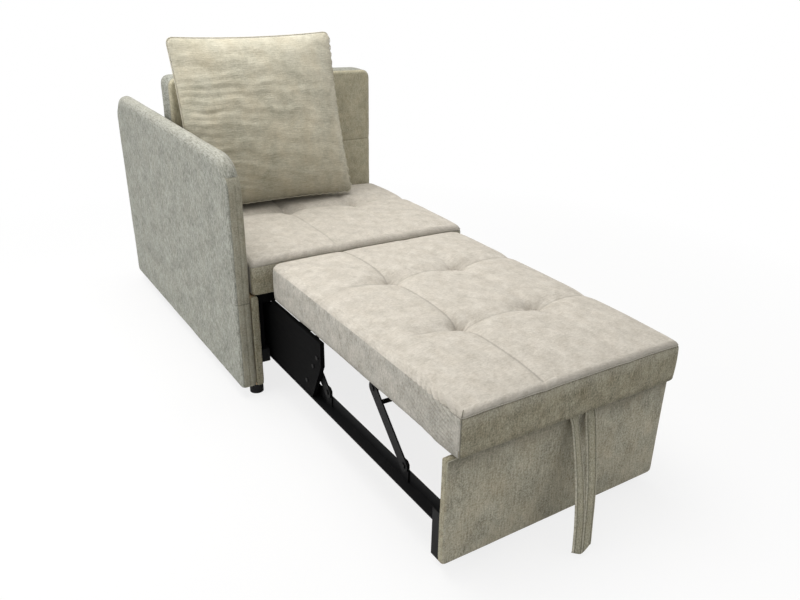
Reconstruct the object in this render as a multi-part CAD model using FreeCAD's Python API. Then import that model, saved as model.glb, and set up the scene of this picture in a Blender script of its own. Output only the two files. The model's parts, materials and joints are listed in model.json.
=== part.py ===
"""One-armed chair bed with a pull-out, lift-up foot section.

The chair faces -Y and stands on Z = 0. Sizes are in millimetres. The drawing frame has X = 0 on the
arm's outer face and Y = 0 on the front of the base. Every piece is moved by the same shift on export,
so that the origin lies at the middle of the whole outline, on the floor.
"""
import FreeCAD
import Part
import math
import os

V = FreeCAD.Vector

# Fits and gaps
SEAT_GAP = 0.3            # soft piece to the piece that carries it
RUN_FIT = 0.05            # radial running clearance of pins, axles and bushes
SIDE_PLAY = 0.5           # side clearance of a part that turns

# Fasteners. Those that repeat have few sides, and so have their holes.
CORE_SIDES = 8
HEAD_SIDES = 6
ARM_BOLT_R = 4.0
ARM_BOLT_HEAD_R = 8.0
ARM_BOLT_HEAD_T = 5.0
ARM_BOLT_END = 120.0      # outer bolts from the ends of the arm
ARM_BOLT_Z = 80.0
ARM_BOLT_COUNT = 3
SCREW_R = 3.0
SCREW_HEAD_R = 7.0
SCREW_HEAD_T = 2.5
SCREW_GRIP = 14.0         # channel screw inside a side board
FOOT_SCREW_R = 2.5
FOOT_SCREW_HEAD_R = 5.0
FOOT_SCREW_HEAD_T = 3.0
FOOT_SCREW_GRIP = 22.0    # foot screw inside a side board
FOOT_RECESS = 8.0         # underside of a foot to the seat of its screw head

# Arm
ARM_W = 48.0
ARM_OVER_BACK = 12.0      # arm past the back of the base
ARM_TOP = 743.0
ARM_CORNER = 95.0         # radius of the arm's upper corners seen from the side
ARM_BOARD_T = 18.0
ARM_BOARD_INSET = 15.0    # outer face of the arm to the board inside it
ARM_PAD_END = 40.0        # padding in front of, behind and above the board
ARM_BOARD_LIFT = 4.0      # underside of the cover to the underside of the board
ARM_LOW_R = 14.0          # lower corners seen from the side
ARM_ROLL_R = 23.0         # upper edges seen from the front
ARM_HEM_R = 9.0           # lower edges seen from the front
ARM_END_R = 14.0          # upright edges
ARM_BOW = 3.0             # how far the ends swell
BODY_BOTTOM = 32.0        # underside of arm and base above the floor

# Base
SIDE_T = 18.0
RIGHT_SIDE_T = 16.0
BASE_DEPTH = 1138.0
DECK_TOP = 331.0          # top of the wooden seat bars
BAR_H = 28.0
BAR_W = 30.0
CROSS_W = 40.0
COVER_T = 3.0             # upholstered hardboard
POST_T = 11.0             # fabric strip on the front edge of a side
SIDE_FRONT = 13.1         # front edge of the side boards behind the front of the base
POST_W = 23.0
BACK_PANEL_T = 18.0
COVER_LIFT = 2.0          # underside of the base to the underside of a cover
COVER_R = 6.0             # corners of the upholstered covers
POST_R = 4.0
MECH_CENTRE = 433.0       # middle plane of the sliding mechanism
BOARD_T = 20.0            # black guide board inside a side
SLAT_T = 10.0
SLAT_W = 60.0
SLAT_GAP = 34.0           # least gap between two slats
SLAT_START = 32.5         # first slat behind the back
SLAT_END = 4.0            # last slat from the back board
SLAT_SIDE = 2.0           # slat and webbing ends from the side boards
WEB_T = 2.0
WEB_W = 50.0
WEB_COUNT = 6
FOOT_R = 21.0
FOOT_SCREW_IN = 4.0       # right-hand screws from the inner face of their side board
FOOT_END = 35.0           # centre of a foot from the end of the base

# Seat cushion
SEAT_LEFT = 54.0
SEAT_RIGHT = 806.0
SEAT_FRONT = 1.0
SEAT_DEPTH = 617.0
SEAT_TOP = 456.0
SEAT_CROWN = 24.0

# Backrest
BACK_IN = 3.0             # side of the seat cushion to the side of the back
BACK_BEHIND_SEAT = 6.5    # seat cushion to the front of the back
BACK_T = 106.0
BACK_TOP = 863.0
BACK_FOOT_R = 45.0        # lower edges, rounded so that the back can fold
BACK_TOP_R = 26.0
BACK_CORNER_R = 34.0      # upper corners seen from the front
BACK_LOW_R = 8.0          # lower corners seen from the front
BACK_BOW = 3.0
BACK_CROWN = 4.0
BACK_FRAME_LOW = 6.0      # underside of the back to its frame
BACK_FRAME_HIGH = 24.0    # frame to the top of the back
BACK_BELOW_PIVOT = 49.0
BACK_SEAM_Z = 610.0
PIVOT_OVER_SLATS = 55.0
BACK_BAR_T = 40.0
BACK_BAR_W = 45.0
BACK_PAD = 18.0           # padding at the sides of the back's frame
HINGE_PIN_R = 6.0
HINGE_PLATE_T = 3.0
HINGE_PLATE_W = 54.0
HINGE_PLATE_GAP = 4.0     # side of the back to the hinge plate
HINGE_FOOT_W = 16.0
HINGE_CORNER = 12.0       # cut upper corners of a hinge plate
HINGE_PIN_SHORT = 6.0     # pin ends this far inside the frame's post

# Guide channels and rollers
CHANNEL_T = 3.0
CHANNEL_W = 29.7
CHANNEL_BOTTOM = 111.0
CHANNEL_H = 42.0
CHANNEL_LIP = 10.0        # how far a channel runs forward past the side board
CHANNEL_STOP = 4.0        # wall across the front end of a channel
CHANNEL_BACK_GAP = 20.0   # back end of a channel from the back board
CHANNEL_SCREW_END = 50.0
CHANNEL_SCREW_COUNT = 4
ROLLER_W = 18.0
ROLLER_GAP = 0.3
ROLLER_Y = 150.0
ROLLER_AXLE_R = 5.0
ROLLER_HUB_GAP = 4.7      # channel web to roller
AXLE_PROUD = 1.5          # axle beyond a roller's outer face
AXLE_TAIL = 3.0           # axle beyond the inner face of a rail

# Carriage
RAIL_OUT = 330.0          # outer edge of a rail from the mechanism's middle plane
RAIL_W = 30.0
RAIL_H = 35.0
RAIL_T = 3.0
RAIL_BOTTOM = 115.0
RAIL_BACK = 170.0
TUBE = 25.0               # square tube of the carriage and of the lifting deck
TUBE_WALL = 2.0
FRONT_TUBE_BEHIND = 40.0  # front cross tube behind the panel
REAR_TUBE_BEFORE = 55.0   # rear cross tube before the back end of the rails
CARRIAGE_BOARD_T = 12.0
CARRIAGE_BOARD_IN = 2.0   # outer edge of the rail to the black side board
CARRIAGE_BOARD_FRONT = -335.0
CARRIAGE_BOARD_BACK = 120.0
CARRIAGE_BOARD_TOP = 298.0
CARRIAGE_BOARD_RISE = 16.0   # how much higher its part before the base is, up to under the cushion
CARRIAGE_BOARD_STEP = -10.0
CARRIAGE_BOARD_CUT = 62.0
BOARD_BOLT_NEAR = 22.0    # three bolts behind the front edge of a side board, and one before its back
BOARD_BOLT_MIDDLE = 48.0
BOARD_BOLT_FAR = 92.0
BOARD_BOLT_BACK = 60.0
BOARD_BOLT_HIGH = 36.0    # the same bolts below its top edge
BOARD_BOLT_MID = 73.0
BOARD_BOLT_LOW = 138.0
PANEL_HALF = 342.0
PANEL_FRONT = -952.0
PANEL_T = 19.0
PANEL_BOTTOM = 30.0
PANEL_TOP = 315.0
PANEL_BOARD_T = 12.0
PANEL_SOFT = 3.0
LEG_W = 42.0
LEG_FOOT_W = 36.0
LEG_BOTTOM = 18.0
LEG_STEP = 16.0           # inner flange above the foot of the leg
WHEEL_R = 20.0
WHEEL_W = 16.0
WHEEL_OFFSET = 243.0      # wheel from the mechanism's middle plane
WHEEL_BEHIND = 25.0       # wheel centre behind the panel
WHEEL_AXLE_R = 4.0
FORK_T = 2.0
FORK_PLATE_W = 50.0
FORK_PLATE_H = 42.0
FORK_BOTTOM = 38.0
FORK_CHEEK_RISE = 22.0    # cheeks above the lower edge of the fork's plate
FORK_EDGE = 8.0           # metal round a wheel's axle

# Lift linkage
LINK_LENGTH = 204.0
LINK_ANGLE = 43.6         # from horizontal, in the photographed pose
LINK_W = 34.0
LINK_T = 4.0
LINK_SPACING = 400.0
LOWER_PIVOT_Y = -735.0
LOWER_PIVOT_Z = 160.0
TAB_T = 4.0
TAB_H = 16.0              # metal on each side of a pivot
TAB_SHOULDER = 8.0        # pivot to where a tab's corners are cut
PIN_R = 6.0
PIN_HEAD_R = 8.5
PIN_HEAD_T = 2.8
ROD_R = 6.0
ROD_ALONG = 0.8           # where the rod is welded, as a share of the link from its lower pivot

# Lifting deck and its cushion
DECK_TUBE_FRONT = -885.0
DECK_TUBE_BACK = -30.0
DECK_TUBE_TOP = 309.0
DECK_TUBE_IN = 20.0       # pivot tab to the side tube beside it
DECK_BOARD_T = 10.0
DECK_BOARD_OVERHANG = 4.0
DECK_BOARD_FRONT = -915.0
DECK_BOARD_BACK = -14.0
FOOT_LEFT = 107.0
FOOT_RIGHT = 778.0
FOOT_FRONT = -972.0
FOOT_BACK = -4.0
FOOT_TOP = 450.0
FOOT_CROWN = 28.0

# Quilting
PLAN_CORNER_R = 27.0      # upright edges of a box cushion
CHANNEL_CUT_W = 15.0
CHANNEL_CUT_D = 5.0
TUFT_R = 40.0
TUFT_D = 13.0
TUFT_STITCH_R = 4.0
TUFT_PLEATS = 10
CUT_OVER = 2.0            # how far a seam or tuft cut starts above the surface
TUFT_SPAN = 238.0         # between the two lengthwise seams
SEAT_TUFT_Y = 415.0
SEAT_TUFT_SHIFT = 20.0    # tufts of the seat from its middle

# Pull strap
STRAP_X = 475.0           # middle of the strap where it is sewn on
STRAP_LEAN = 66.0         # how far its end hangs to the left
STRAP_STRAND = 34.0
STRAP_GAP = 14.0          # between the strands where they are sewn on
STRAP_SLOT = 165.0        # how far down the strands meet
STRAP_MEET = 1.0          # gap between them there
STRAP_TIP = 17.0          # height of the pointed end
STRAP_T = 4.0
STRAP_DROP = 308.0
STRAP_OUT = 124.0
STRAP_BOW = 14.0

# Throw pillow
PILLOW_W = 560.0
PILLOW_H = 560.0
PILLOW_T = 176.0
PILLOW_DRAW_IN = 14.0     # how far the sides draw in between the corners
PILLOW_TAPER = 1.1        # higher is thinner near the edges
PILLOW_BANDS = 5          # flat strips from the knife edge to each face
PILLOW_SIDE_POINTS = 4
PILLOW_X = 330.0
PILLOW_LEAN = 13.5

# Places that follow from the sizes above
ARM_DEPTH = BASE_DEPTH + ARM_OVER_BACK
BACK_FRONT = SEAT_DEPTH + BACK_BEHIND_SEAT
BACK_LEFT = SEAT_LEFT + BACK_IN
BACK_RIGHT = SEAT_RIGHT - BACK_IN
MECH_LEFT = ARM_W + SEAT_GAP + SIDE_T                 # inner face of the left side
MECH_RIGHT = 2 * MECH_CENTRE - MECH_LEFT              # inner face of the right side
LEFT_FOOT_X = MECH_LEFT - SIDE_T / 2
RIGHT_FOOT_X = MECH_RIGHT + FOOT_SCREW_IN
WIDTH = max(MECH_RIGHT + RIGHT_SIDE_T + COVER_T, RIGHT_FOOT_X + FOOT_R)
SLAT_TOP = DECK_TOP + SLAT_T
CHANNEL_BACK = BASE_DEPTH - BACK_PANEL_T - CHANNEL_BACK_GAP
PIVOT_Z = SLAT_TOP + PIVOT_OVER_SLATS
PIVOT_Y = BACK_FRONT + BACK_T / 2
BACK_BOTTOM = PIVOT_Z - BACK_BELOW_PIVOT
ROLLER_R = CHANNEL_H / 2 - CHANNEL_T - ROLLER_GAP
ROLLER_Z = CHANNEL_BOTTOM + CHANNEL_H / 2
RAIL_X = MECH_CENTRE - RAIL_OUT                       # outer edge of the left rail
RAIL_WEB_X = RAIL_X + RAIL_W - RAIL_T                 # outer face of its upright flange
LINK_X = RAIL_WEB_X - TAB_T - SIDE_PLAY - LINK_T      # outer face of the left links
LINK_DY = LINK_LENGTH * math.cos(math.radians(LINK_ANGLE))
LINK_DZ = LINK_LENGTH * math.sin(math.radians(LINK_ANGLE))
UPPER_PIVOT_Z = LOWER_PIVOT_Z + LINK_DZ
DECK_BOARD_TOP = DECK_TUBE_TOP + DECK_BOARD_T
PANEL_BACK = PANEL_FRONT + PANEL_T
WHEEL_Y = PANEL_BACK + WHEEL_BEHIND
STRAP_TOP_Y = PANEL_FRONT - SEAT_GAP
STRAP_TOP_Z = PANEL_TOP - 1
FOOT_MID_X = (FOOT_LEFT + FOOT_RIGHT) / 2
SEAT_MID_X = (SEAT_LEFT + SEAT_RIGHT) / 2

ORIGIN_SHIFT = V(-WIDTH / 2, -(ARM_DEPTH + STRAP_TOP_Y - STRAP_OUT) / 2, 0)


def box(x0, x1, y0, y1, z0, z1):
    """Box between two corners."""
    return Part.makeBox(x1 - x0, y1 - y0, z1 - z0, V(x0, y0, z0))


def rod_x(x0, x1, y, z, radius):
    """Round bar along X."""
    return Part.makeCylinder(radius, x1 - x0, V(x0, y, z), V(1, 0, 0))


def prism(a, b, radius, sides, to_point, length):
    """Straight bar with a regular outline about (a, b) in the plane of to_point, pulled out by a vector."""
    turns = [2 * math.pi * (i + 0.5) / sides for i in range(sides)]
    points = [to_point(a + radius * math.cos(turn), b + radius * math.sin(turn)) for turn in turns]
    return Part.Face(Part.makePolygon(points + points[:1])).extrude(length)


def core_x(x0, x1, y, z, radius):
    """Core of a bolt along X, which also cuts its hole."""
    return prism(y, z, radius, CORE_SIDES, in_yz(x0), V(x1 - x0, 0, 0))


def bolt_x(tip, seat, y, z, radius, head_r, head_t):
    """Bolt along X from its tip to the face that its head seats on, with the head beyond that face."""
    beyond = math.copysign(head_t, seat - tip)
    head = prism(y, z, head_r, HEAD_SIDES, in_yz(seat), V(beyond, 0, 0))
    return core_x(tip, seat, y, z, radius).fuse(head)


def mirrored(shape):
    """The same piece on the other side of the mechanism's middle plane."""
    return shape.mirror(V(MECH_CENTRE, 0, 0), V(1, 0, 0))


def both_sides(shape):
    """A left piece and its mirror image, as separate solids."""
    return Part.makeCompound([shape, mirrored(shape)])


def arc(p, q, r):
    """Edge of an arc through three points."""
    return Part.Arc(p, q, r).toShape()


def corner_arc(centre, radius, start_deg, to_point):
    """Quarter-circle edge round a corner's centre, anticlockwise in the outline's plane."""
    angles = [math.radians(start_deg + step) for step in (0, 45, 90)]
    points = [to_point(centre[0] + radius * math.cos(a), centre[1] + radius * math.sin(a)) for a in angles]
    return arc(*points)


def soft_outline(a0, a1, b0, b1, to_point, draw_in=0.0, crown=0.0, low_r=8.0, high_r=8.0):
    """Closed face of a stuffed outline: flat base, bowed sides, rounded corners and crowned top.

    draw_in is how far the ends of each side lie inside its middle, crown is the rise of the top, and
    low_r and high_r are the lower and upper corner radii. to_point turns (a, b) into a space point.
    """
    left, right, top = a0 + draw_in, a1 - draw_in, b1 - crown
    middle_a, middle_b = (a0 + a1) / 2, (b0 + top) / 2
    edges = [Part.makeLine(to_point(left + low_r, b0), to_point(right - low_r, b0)),
             corner_arc((right - low_r, b0 + low_r), low_r, -90, to_point)]
    if draw_in > 0:
        edges.append(arc(to_point(right, b0 + low_r), to_point(a1, middle_b), to_point(right, top - high_r)))
    else:
        edges.append(Part.makeLine(to_point(right, b0 + low_r), to_point(right, top - high_r)))
    edges.append(corner_arc((right - high_r, top - high_r), high_r, 0, to_point))
    if crown > 0:
        edges.append(arc(to_point(right - high_r, top), to_point(middle_a, b1), to_point(left + high_r, top)))
    else:
        edges.append(Part.makeLine(to_point(right - high_r, top), to_point(left + high_r, top)))
    edges.append(corner_arc((left + high_r, top - high_r), high_r, 90, to_point))
    if draw_in > 0:
        edges.append(arc(to_point(left, top - high_r), to_point(a0, middle_b), to_point(left, b0 + low_r)))
    else:
        edges.append(Part.makeLine(to_point(left, top - high_r), to_point(left, b0 + low_r)))
    edges.append(corner_arc((left + low_r, b0 + low_r), low_r, 180, to_point))
    return Part.Face(Part.Wire(edges))


def in_xz(y):
    """Outline plane across the chair, at depth y."""
    return lambda a, b: V(a, y, b)


def in_yz(x):
    """Outline plane along the chair, at x."""
    return lambda a, b: V(x, a, b)


def in_xy(z):
    """Plan outline at height z."""
    return lambda a, b: V(a, b, z)


def crown_surface(x0, x1, y0, y1, bottom, top, rise_x, rise_y):
    """Large dome that gives a cushion its crown: rise_x across and rise_y along."""
    margin = 30.0
    mid_x, mid_y = (x0 + x1) / 2, (y0 + y1) / 2
    half_x, half_y = (x1 - x0) / 2, (y1 - y0) / 2
    radius_y = half_y ** 2 / (2 * rise_y)
    edge_drop = rise_x * ((half_x + margin) / half_x) ** 2
    low = bottom - margin
    left, right = mid_x - half_x - margin, mid_x + half_x + margin
    edges = [Part.makeLine(V(left, mid_y, low), V(right, mid_y, low)),
             Part.makeLine(V(right, mid_y, low), V(right, mid_y, top - edge_drop)),
             arc(V(right, mid_y, top - edge_drop), V(mid_x, mid_y, top), V(left, mid_y, top - edge_drop)),
             Part.makeLine(V(left, mid_y, top - edge_drop), V(left, mid_y, low))]
    face = Part.Face(Part.Wire(edges))
    axis_point = V(mid_x, mid_y, top - radius_y)
    swing = math.degrees((half_y + margin) / radius_y)
    face.rotate(axis_point, V(1, 0, 0), -swing)
    return face.revolve(axis_point, V(1, 0, 0), 2 * swing)


def seam_along(x, x0, x1, y0, y1, top, rise_x, rise_y):
    """V-shaped cut of a seam that runs front to back at x and follows the crown."""
    mid_x, mid_y = (x0 + x1) / 2, (y0 + y1) / 2
    half_y = (y1 - y0) / 2
    drop = rise_x * ((x - mid_x) / ((x1 - x0) / 2)) ** 2
    surface = top - drop
    radius_y = half_y ** 2 / (2 * rise_y)
    axis_point = V(mid_x, mid_y, top - radius_y)
    wire = Part.makePolygon([V(x, mid_y, surface - CHANNEL_CUT_D),
                             V(x + CHANNEL_CUT_W / 2, mid_y, surface + CUT_OVER),
                             V(x - CHANNEL_CUT_W / 2, mid_y, surface + CUT_OVER),
                             V(x, mid_y, surface - CHANNEL_CUT_D)])
    face = Part.Face(wire)
    swing = math.degrees((half_y + 20) / radius_y)
    face.rotate(axis_point, V(1, 0, 0), -swing)
    return face.revolve(axis_point, V(1, 0, 0), 2 * swing)


def seam_across(y, x0, x1, y0, y1, top, rise_x, rise_y):
    """V-shaped cut of a seam that runs side to side at y and follows the crown."""
    mid_x, mid_y = (x0 + x1) / 2, (y0 + y1) / 2
    half_x = (x1 - x0) / 2
    surface = top - rise_y * ((y - mid_y) / ((y1 - y0) / 2)) ** 2
    radius_x = half_x ** 2 / (2 * rise_x)
    axis_point = V(mid_x, mid_y, top - radius_x)
    wire = Part.makePolygon([V(mid_x, y, surface - CHANNEL_CUT_D),
                             V(mid_x, y + CHANNEL_CUT_W / 2, surface + CUT_OVER),
                             V(mid_x, y - CHANNEL_CUT_W / 2, surface + CUT_OVER),
                             V(mid_x, y, surface - CHANNEL_CUT_D)])
    face = Part.Face(wire)
    swing = math.degrees((half_x + 20) / radius_x)
    face.rotate(axis_point, V(0, 1, 0), -swing)
    return face.revolve(axis_point, V(0, 1, 0), 2 * swing)


def crown_height(x, y, x0, x1, y0, y1, top, rise):
    """Height of a crowned top above the point (x, y)."""
    across = ((x - (x0 + x1) / 2) / ((x1 - x0) / 2)) ** 2
    along = ((y - (y0 + y1) / 2) / ((y1 - y0) / 2)) ** 2
    return top - rise * (across + along)


def flat_loft(rings):
    """Solid through closed rings of points, each ring a scaled copy of the last, so every strip is flat."""
    faces = [Part.Face(Part.makePolygon(ring + ring[:1])) for ring in (rings[0], rings[-1])]
    for low, high in zip(rings, rings[1:]):
        for i in range(len(low)):
            faces.append(Part.Face(Part.makePolygon([low[i - 1], low[i], high[i], high[i - 1], low[i - 1]])))
    solid = Part.Solid(Part.Shell(faces))
    return solid if solid.Volume > 0 else solid.reversed()


def tuft(x, y, surface):
    """Pleated funnel of one sewn tuft."""
    turns = [2 * math.pi * (i + 0.5) / TUFT_PLEATS for i in range(TUFT_PLEATS)]
    return flat_loft([[V(x + radius * math.cos(turn), y + radius * math.sin(turn), z) for turn in turns]
                      for radius, z in ((TUFT_STITCH_R, surface - TUFT_D), (TUFT_R, surface + CUT_OVER))])


def quilted_cushion(x0, x1, y0, y1, z0, z1, crown, seams_x, seams_y, tufts):
    """Box cushion with drawn-in sides, a crown, sewn seams and tufts."""
    rise = crown / 2
    side = soft_outline(y0, y1, z0, z1, in_yz(x0), draw_in=6, low_r=10, high_r=14).extrude(V(x1 - x0, 0, 0))
    front = soft_outline(x0, x1, z0, z1, in_xz(y0), draw_in=6, low_r=10, high_r=14).extrude(V(0, y1 - y0, 0))
    plan = soft_outline(x0 - 1, x1 + 1, y0 - 1, y1 + 1, in_xy(z0), low_r=PLAN_CORNER_R, high_r=PLAN_CORNER_R)
    body = side.common(front).common(plan.extrude(V(0, 0, z1 - z0)))
    body = body.common(crown_surface(x0, x1, y0, y1, z0, z1, rise, rise))
    for x in seams_x:
        body = body.cut(seam_along(x, x0, x1, y0, y1, z1, rise, rise))
    for y in seams_y:
        body = body.cut(seam_across(y, x0, x1, y0, y1, z1, rise, rise))
    for x, y in tufts:
        body = body.cut(tuft(x, y, crown_height(x, y, x0, x1, y0, y1, z1, rise)))
    return body


def export(name, shape):
    """Write one named piece in the finished frame."""
    moved = shape.copy()
    moved.translate(ORIGIN_SHIFT)
    moved.exportStep(os.path.join("parts", name + ".step"))


def arm_bolt_places():
    """Places of the bolts that hold the arm to the base."""
    pitch = (ARM_DEPTH - 2 * ARM_BOLT_END) / (ARM_BOLT_COUNT - 1)
    return [(ARM_BOLT_END + i * pitch, ARM_BOLT_Z) for i in range(ARM_BOLT_COUNT)]


def foot_places():
    """Centres of the four feet."""
    back = BASE_DEPTH - BACK_PANEL_T - FOOT_END
    return [(x, y) for x in (LEFT_FOOT_X, RIGHT_FOOT_X) for y in (FOOT_END, back)]


def make_arm():
    """Padded arm: a board inside a thick fabric-covered pad, bolted to the left side of the base."""
    profile = soft_outline(0, ARM_DEPTH, BODY_BOTTOM, ARM_TOP, in_yz(0), draw_in=ARM_BOW, low_r=ARM_LOW_R,
                           high_r=ARM_CORNER)
    across = soft_outline(0, ARM_W, BODY_BOTTOM, ARM_TOP, in_xz(0), low_r=ARM_HEM_R, high_r=ARM_ROLL_R)
    plan = soft_outline(0, ARM_W, 0, ARM_DEPTH, in_xy(BODY_BOTTOM), low_r=ARM_END_R, high_r=ARM_END_R)
    pad = profile.extrude(V(ARM_W, 0, 0)).common(across.extrude(V(0, ARM_DEPTH, 0)))
    pad = pad.common(plan.extrude(V(0, 0, ARM_TOP - BODY_BOTTOM)))
    x0, x1 = ARM_BOARD_INSET, ARM_BOARD_INSET + ARM_BOARD_T
    y0, y1 = ARM_PAD_END, ARM_DEPTH - ARM_PAD_END
    z0, z1 = BODY_BOTTOM + ARM_BOARD_LIFT, ARM_TOP - ARM_PAD_END
    corner = ARM_CORNER - ARM_PAD_END
    board = soft_outline(y0, y1, z0, z1, in_yz(x0), low_r=2, high_r=corner).extrude(V(x1 - x0, 0, 0))
    gap = SEAT_GAP
    pocket = soft_outline(y0 - gap, y1 + gap, BODY_BOTTOM - 10, z1 + gap, in_yz(x0 - gap), low_r=2,
                          high_r=corner).extrude(V(x1 - x0 + 2 * gap, 0, 0))
    holes = [core_x(x0, MECH_LEFT, y, z, ARM_BOLT_R) for y, z in arm_bolt_places()]
    bolts = [bolt_x(x0, MECH_LEFT, y, z, ARM_BOLT_R, ARM_BOLT_HEAD_R, ARM_BOLT_HEAD_T)
             for y, z in arm_bolt_places()]
    export("arm_cover", pad.cut([pocket] + holes))
    export("arm_board", board.cut(holes))
    export("arm_bolts", Part.makeCompound(bolts))
    return holes


def make_base_sides(arm_holes):
    """Two side boards, the back board and their upholstered outer covers."""
    z0, z1 = BODY_BOTTOM, DECK_TOP
    y0, y1 = SIDE_FRONT, BASE_DEPTH - BACK_PANEL_T
    foot_holes = [foot_screw_core(x, y) for x, y in foot_places()]
    bolt_holes = [core_x(MECH_LEFT - SCREW_GRIP, MECH_LEFT, y, z, SCREW_R) for y, z in channel_bolt_places()]
    left = box(MECH_LEFT - SIDE_T, MECH_LEFT, y0, y1, z0, z1)
    right = box(MECH_RIGHT, MECH_RIGHT + RIGHT_SIDE_T, y0, y1, z0, z1)
    export("base_side_left", left.cut(arm_holes + foot_holes + bolt_holes))
    export("base_side_right", right.cut(foot_holes + [mirrored(hole) for hole in bolt_holes]))
    x0, x1 = MECH_LEFT - SIDE_T, MECH_RIGHT + RIGHT_SIDE_T
    export("base_back", box(x0, x1, y1, BASE_DEPTH, z0, z1))
    low = z0 + COVER_LIFT
    cover = soft_outline(y0, y1, low, z1, in_yz(x1), low_r=COVER_R, high_r=COVER_R)
    export("side_cover_right", cover.extrude(V(COVER_T, 0, 0)))
    rear = soft_outline(x0, x1, low, z1, in_xz(BASE_DEPTH), low_r=COVER_R, high_r=COVER_R)
    export("rear_cover", rear.extrude(V(0, COVER_T, 0)))
    post_x, post_y = MECH_LEFT - SIDE_T, y0 - SEAT_GAP - POST_T
    edges = [Part.makeLine(V(post_x + POST_R, post_y, low), V(post_x + POST_W - POST_R, post_y, low)),
             corner_arc((post_x + POST_W - POST_R, post_y + POST_R), POST_R, -90, in_xy(low)),
             Part.makeLine(V(post_x + POST_W, post_y + POST_R, low), V(post_x + POST_W, post_y + POST_T, low)),
             Part.makeLine(V(post_x + POST_W, post_y + POST_T, low), V(post_x, post_y + POST_T, low)),
             Part.makeLine(V(post_x, post_y + POST_T, low), V(post_x, post_y + POST_R, low)),
             corner_arc((post_x + POST_R, post_y + POST_R), POST_R, 180, in_xy(low))]
    post = Part.Face(Part.Wire(edges)).extrude(V(0, 0, z1 - low))
    export("front_post_left", post)
    export("front_post_right", mirrored(post))


def channel_bolt_places():
    """Places of the screws that hold a guide channel to its side board."""
    first, last = SIDE_FRONT + CHANNEL_SCREW_END, CHANNEL_BACK - CHANNEL_SCREW_END
    pitch = (last - first) / (CHANNEL_SCREW_COUNT - 1)
    return [(first + i * pitch, ROLLER_Z) for i in range(CHANNEL_SCREW_COUNT)]


def foot_screw_core(x, y):
    """Core of a foot's screw, which also cuts its holes in foot and side board."""
    length = BODY_BOTTOM + FOOT_SCREW_GRIP - FOOT_RECESS
    return prism(x, y, FOOT_SCREW_R, CORE_SIDES, in_xy(FOOT_RECESS), V(0, 0, length))


def make_feet():
    """Four round plastic feet with their screws."""
    feet, screws = [], []
    for x, y in foot_places():
        foot = Part.makeCylinder(FOOT_R, BODY_BOTTOM, V(x, y, 0), V(0, 0, 1))
        recess = prism(x, y, FOOT_SCREW_HEAD_R + 2, HEAD_SIDES, in_xy(0), V(0, 0, FOOT_RECESS))
        head_bottom = FOOT_RECESS - FOOT_SCREW_HEAD_T
        head = prism(x, y, FOOT_SCREW_HEAD_R, HEAD_SIDES, in_xy(head_bottom), V(0, 0, FOOT_SCREW_HEAD_T))
        feet.append(foot.cut([recess, foot_screw_core(x, y)]))
        screws.append(foot_screw_core(x, y).fuse(head))
    export("feet", Part.makeCompound(feet))
    export("foot_screws", Part.makeCompound(screws))


def make_seat_bars():
    """Wooden bars of the seat, the elastic webbing on them and the slats behind the seat."""
    z0, z1 = DECK_TOP - BAR_H, DECK_TOP
    y0, y1 = SIDE_FRONT, BASE_DEPTH - BACK_PANEL_T
    side = box(MECH_LEFT, MECH_LEFT + BAR_W, y0, y1, z0, z1)
    inner0, inner1 = MECH_LEFT + BAR_W, MECH_RIGHT - BAR_W
    middle = SEAT_DEPTH - CROSS_W / 2
    cross = [box(inner0, inner1, y, y + CROSS_W, z0, z1) for y in (y0, middle, y1 - CROSS_W)]
    export("seat_bars", Part.makeCompound([side, mirrored(side)] + cross))
    pitch = (middle - y0 - CROSS_W - WEB_W) / (WEB_COUNT - 1)
    webs = [box(MECH_LEFT + SLAT_SIDE, MECH_RIGHT - SLAT_SIDE, y0 + CROSS_W + i * pitch, y0 + CROSS_W + i * pitch + WEB_W,
                z1, z1 + WEB_T) for i in range(WEB_COUNT)]
    export("seat_webbing", Part.makeCompound(webs))
    first, last = BACK_FRONT + BACK_T + SLAT_START, y1 - SLAT_W - SLAT_END
    gaps = int((last - first) // (SLAT_W + SLAT_GAP))
    starts = [first + i * (last - first) / gaps for i in range(gaps + 1)] if gaps else [last]
    slats = [box(MECH_LEFT + SLAT_SIDE, MECH_RIGHT - SLAT_SIDE, y, y + SLAT_W, z1, z1 + SLAT_T)
             for y in starts]
    export("rear_slats", Part.makeCompound(slats))


def make_guides():
    """Steel channels for the rear rollers, with the black boards above them."""
    x0, z0 = MECH_LEFT, CHANNEL_BOTTOM
    y0, y1 = SIDE_FRONT, CHANNEL_BACK
    z1 = z0 + CHANNEL_H
    front = y0 - CHANNEL_LIP
    channel = box(x0, x0 + CHANNEL_W, front, y1, z0, z1)
    hollow = box(x0 + CHANNEL_T, x0 + CHANNEL_W + 1, front + CHANNEL_STOP, y1 + 1, z0 + CHANNEL_T,
                 z1 - CHANNEL_T)
    past_post = box(x0 - 1, x0 + POST_W - SIDE_T + SEAT_GAP, front - 1, y0, z0 - 1, z1 + 1)
    seat = x0 + CHANNEL_T
    holes = [core_x(x0 - 1, seat, y, z, SCREW_R) for y, z in channel_bolt_places()]
    bolts = [bolt_x(x0 - SCREW_GRIP, seat, y, z, SCREW_R, SCREW_HEAD_R, SCREW_HEAD_T)
             for y, z in channel_bolt_places()]
    channel = channel.cut([hollow, past_post] + holes)
    export("guide_channel_left", channel)
    export("guide_channel_right", mirrored(channel))
    export("channel_bolts", both_sides(Part.makeCompound(bolts)))
    board = box(x0, x0 + BOARD_T, y0, y1, z1, DECK_TOP - BAR_H)
    export("guide_board_left", board)
    export("guide_board_right", mirrored(board))


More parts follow.
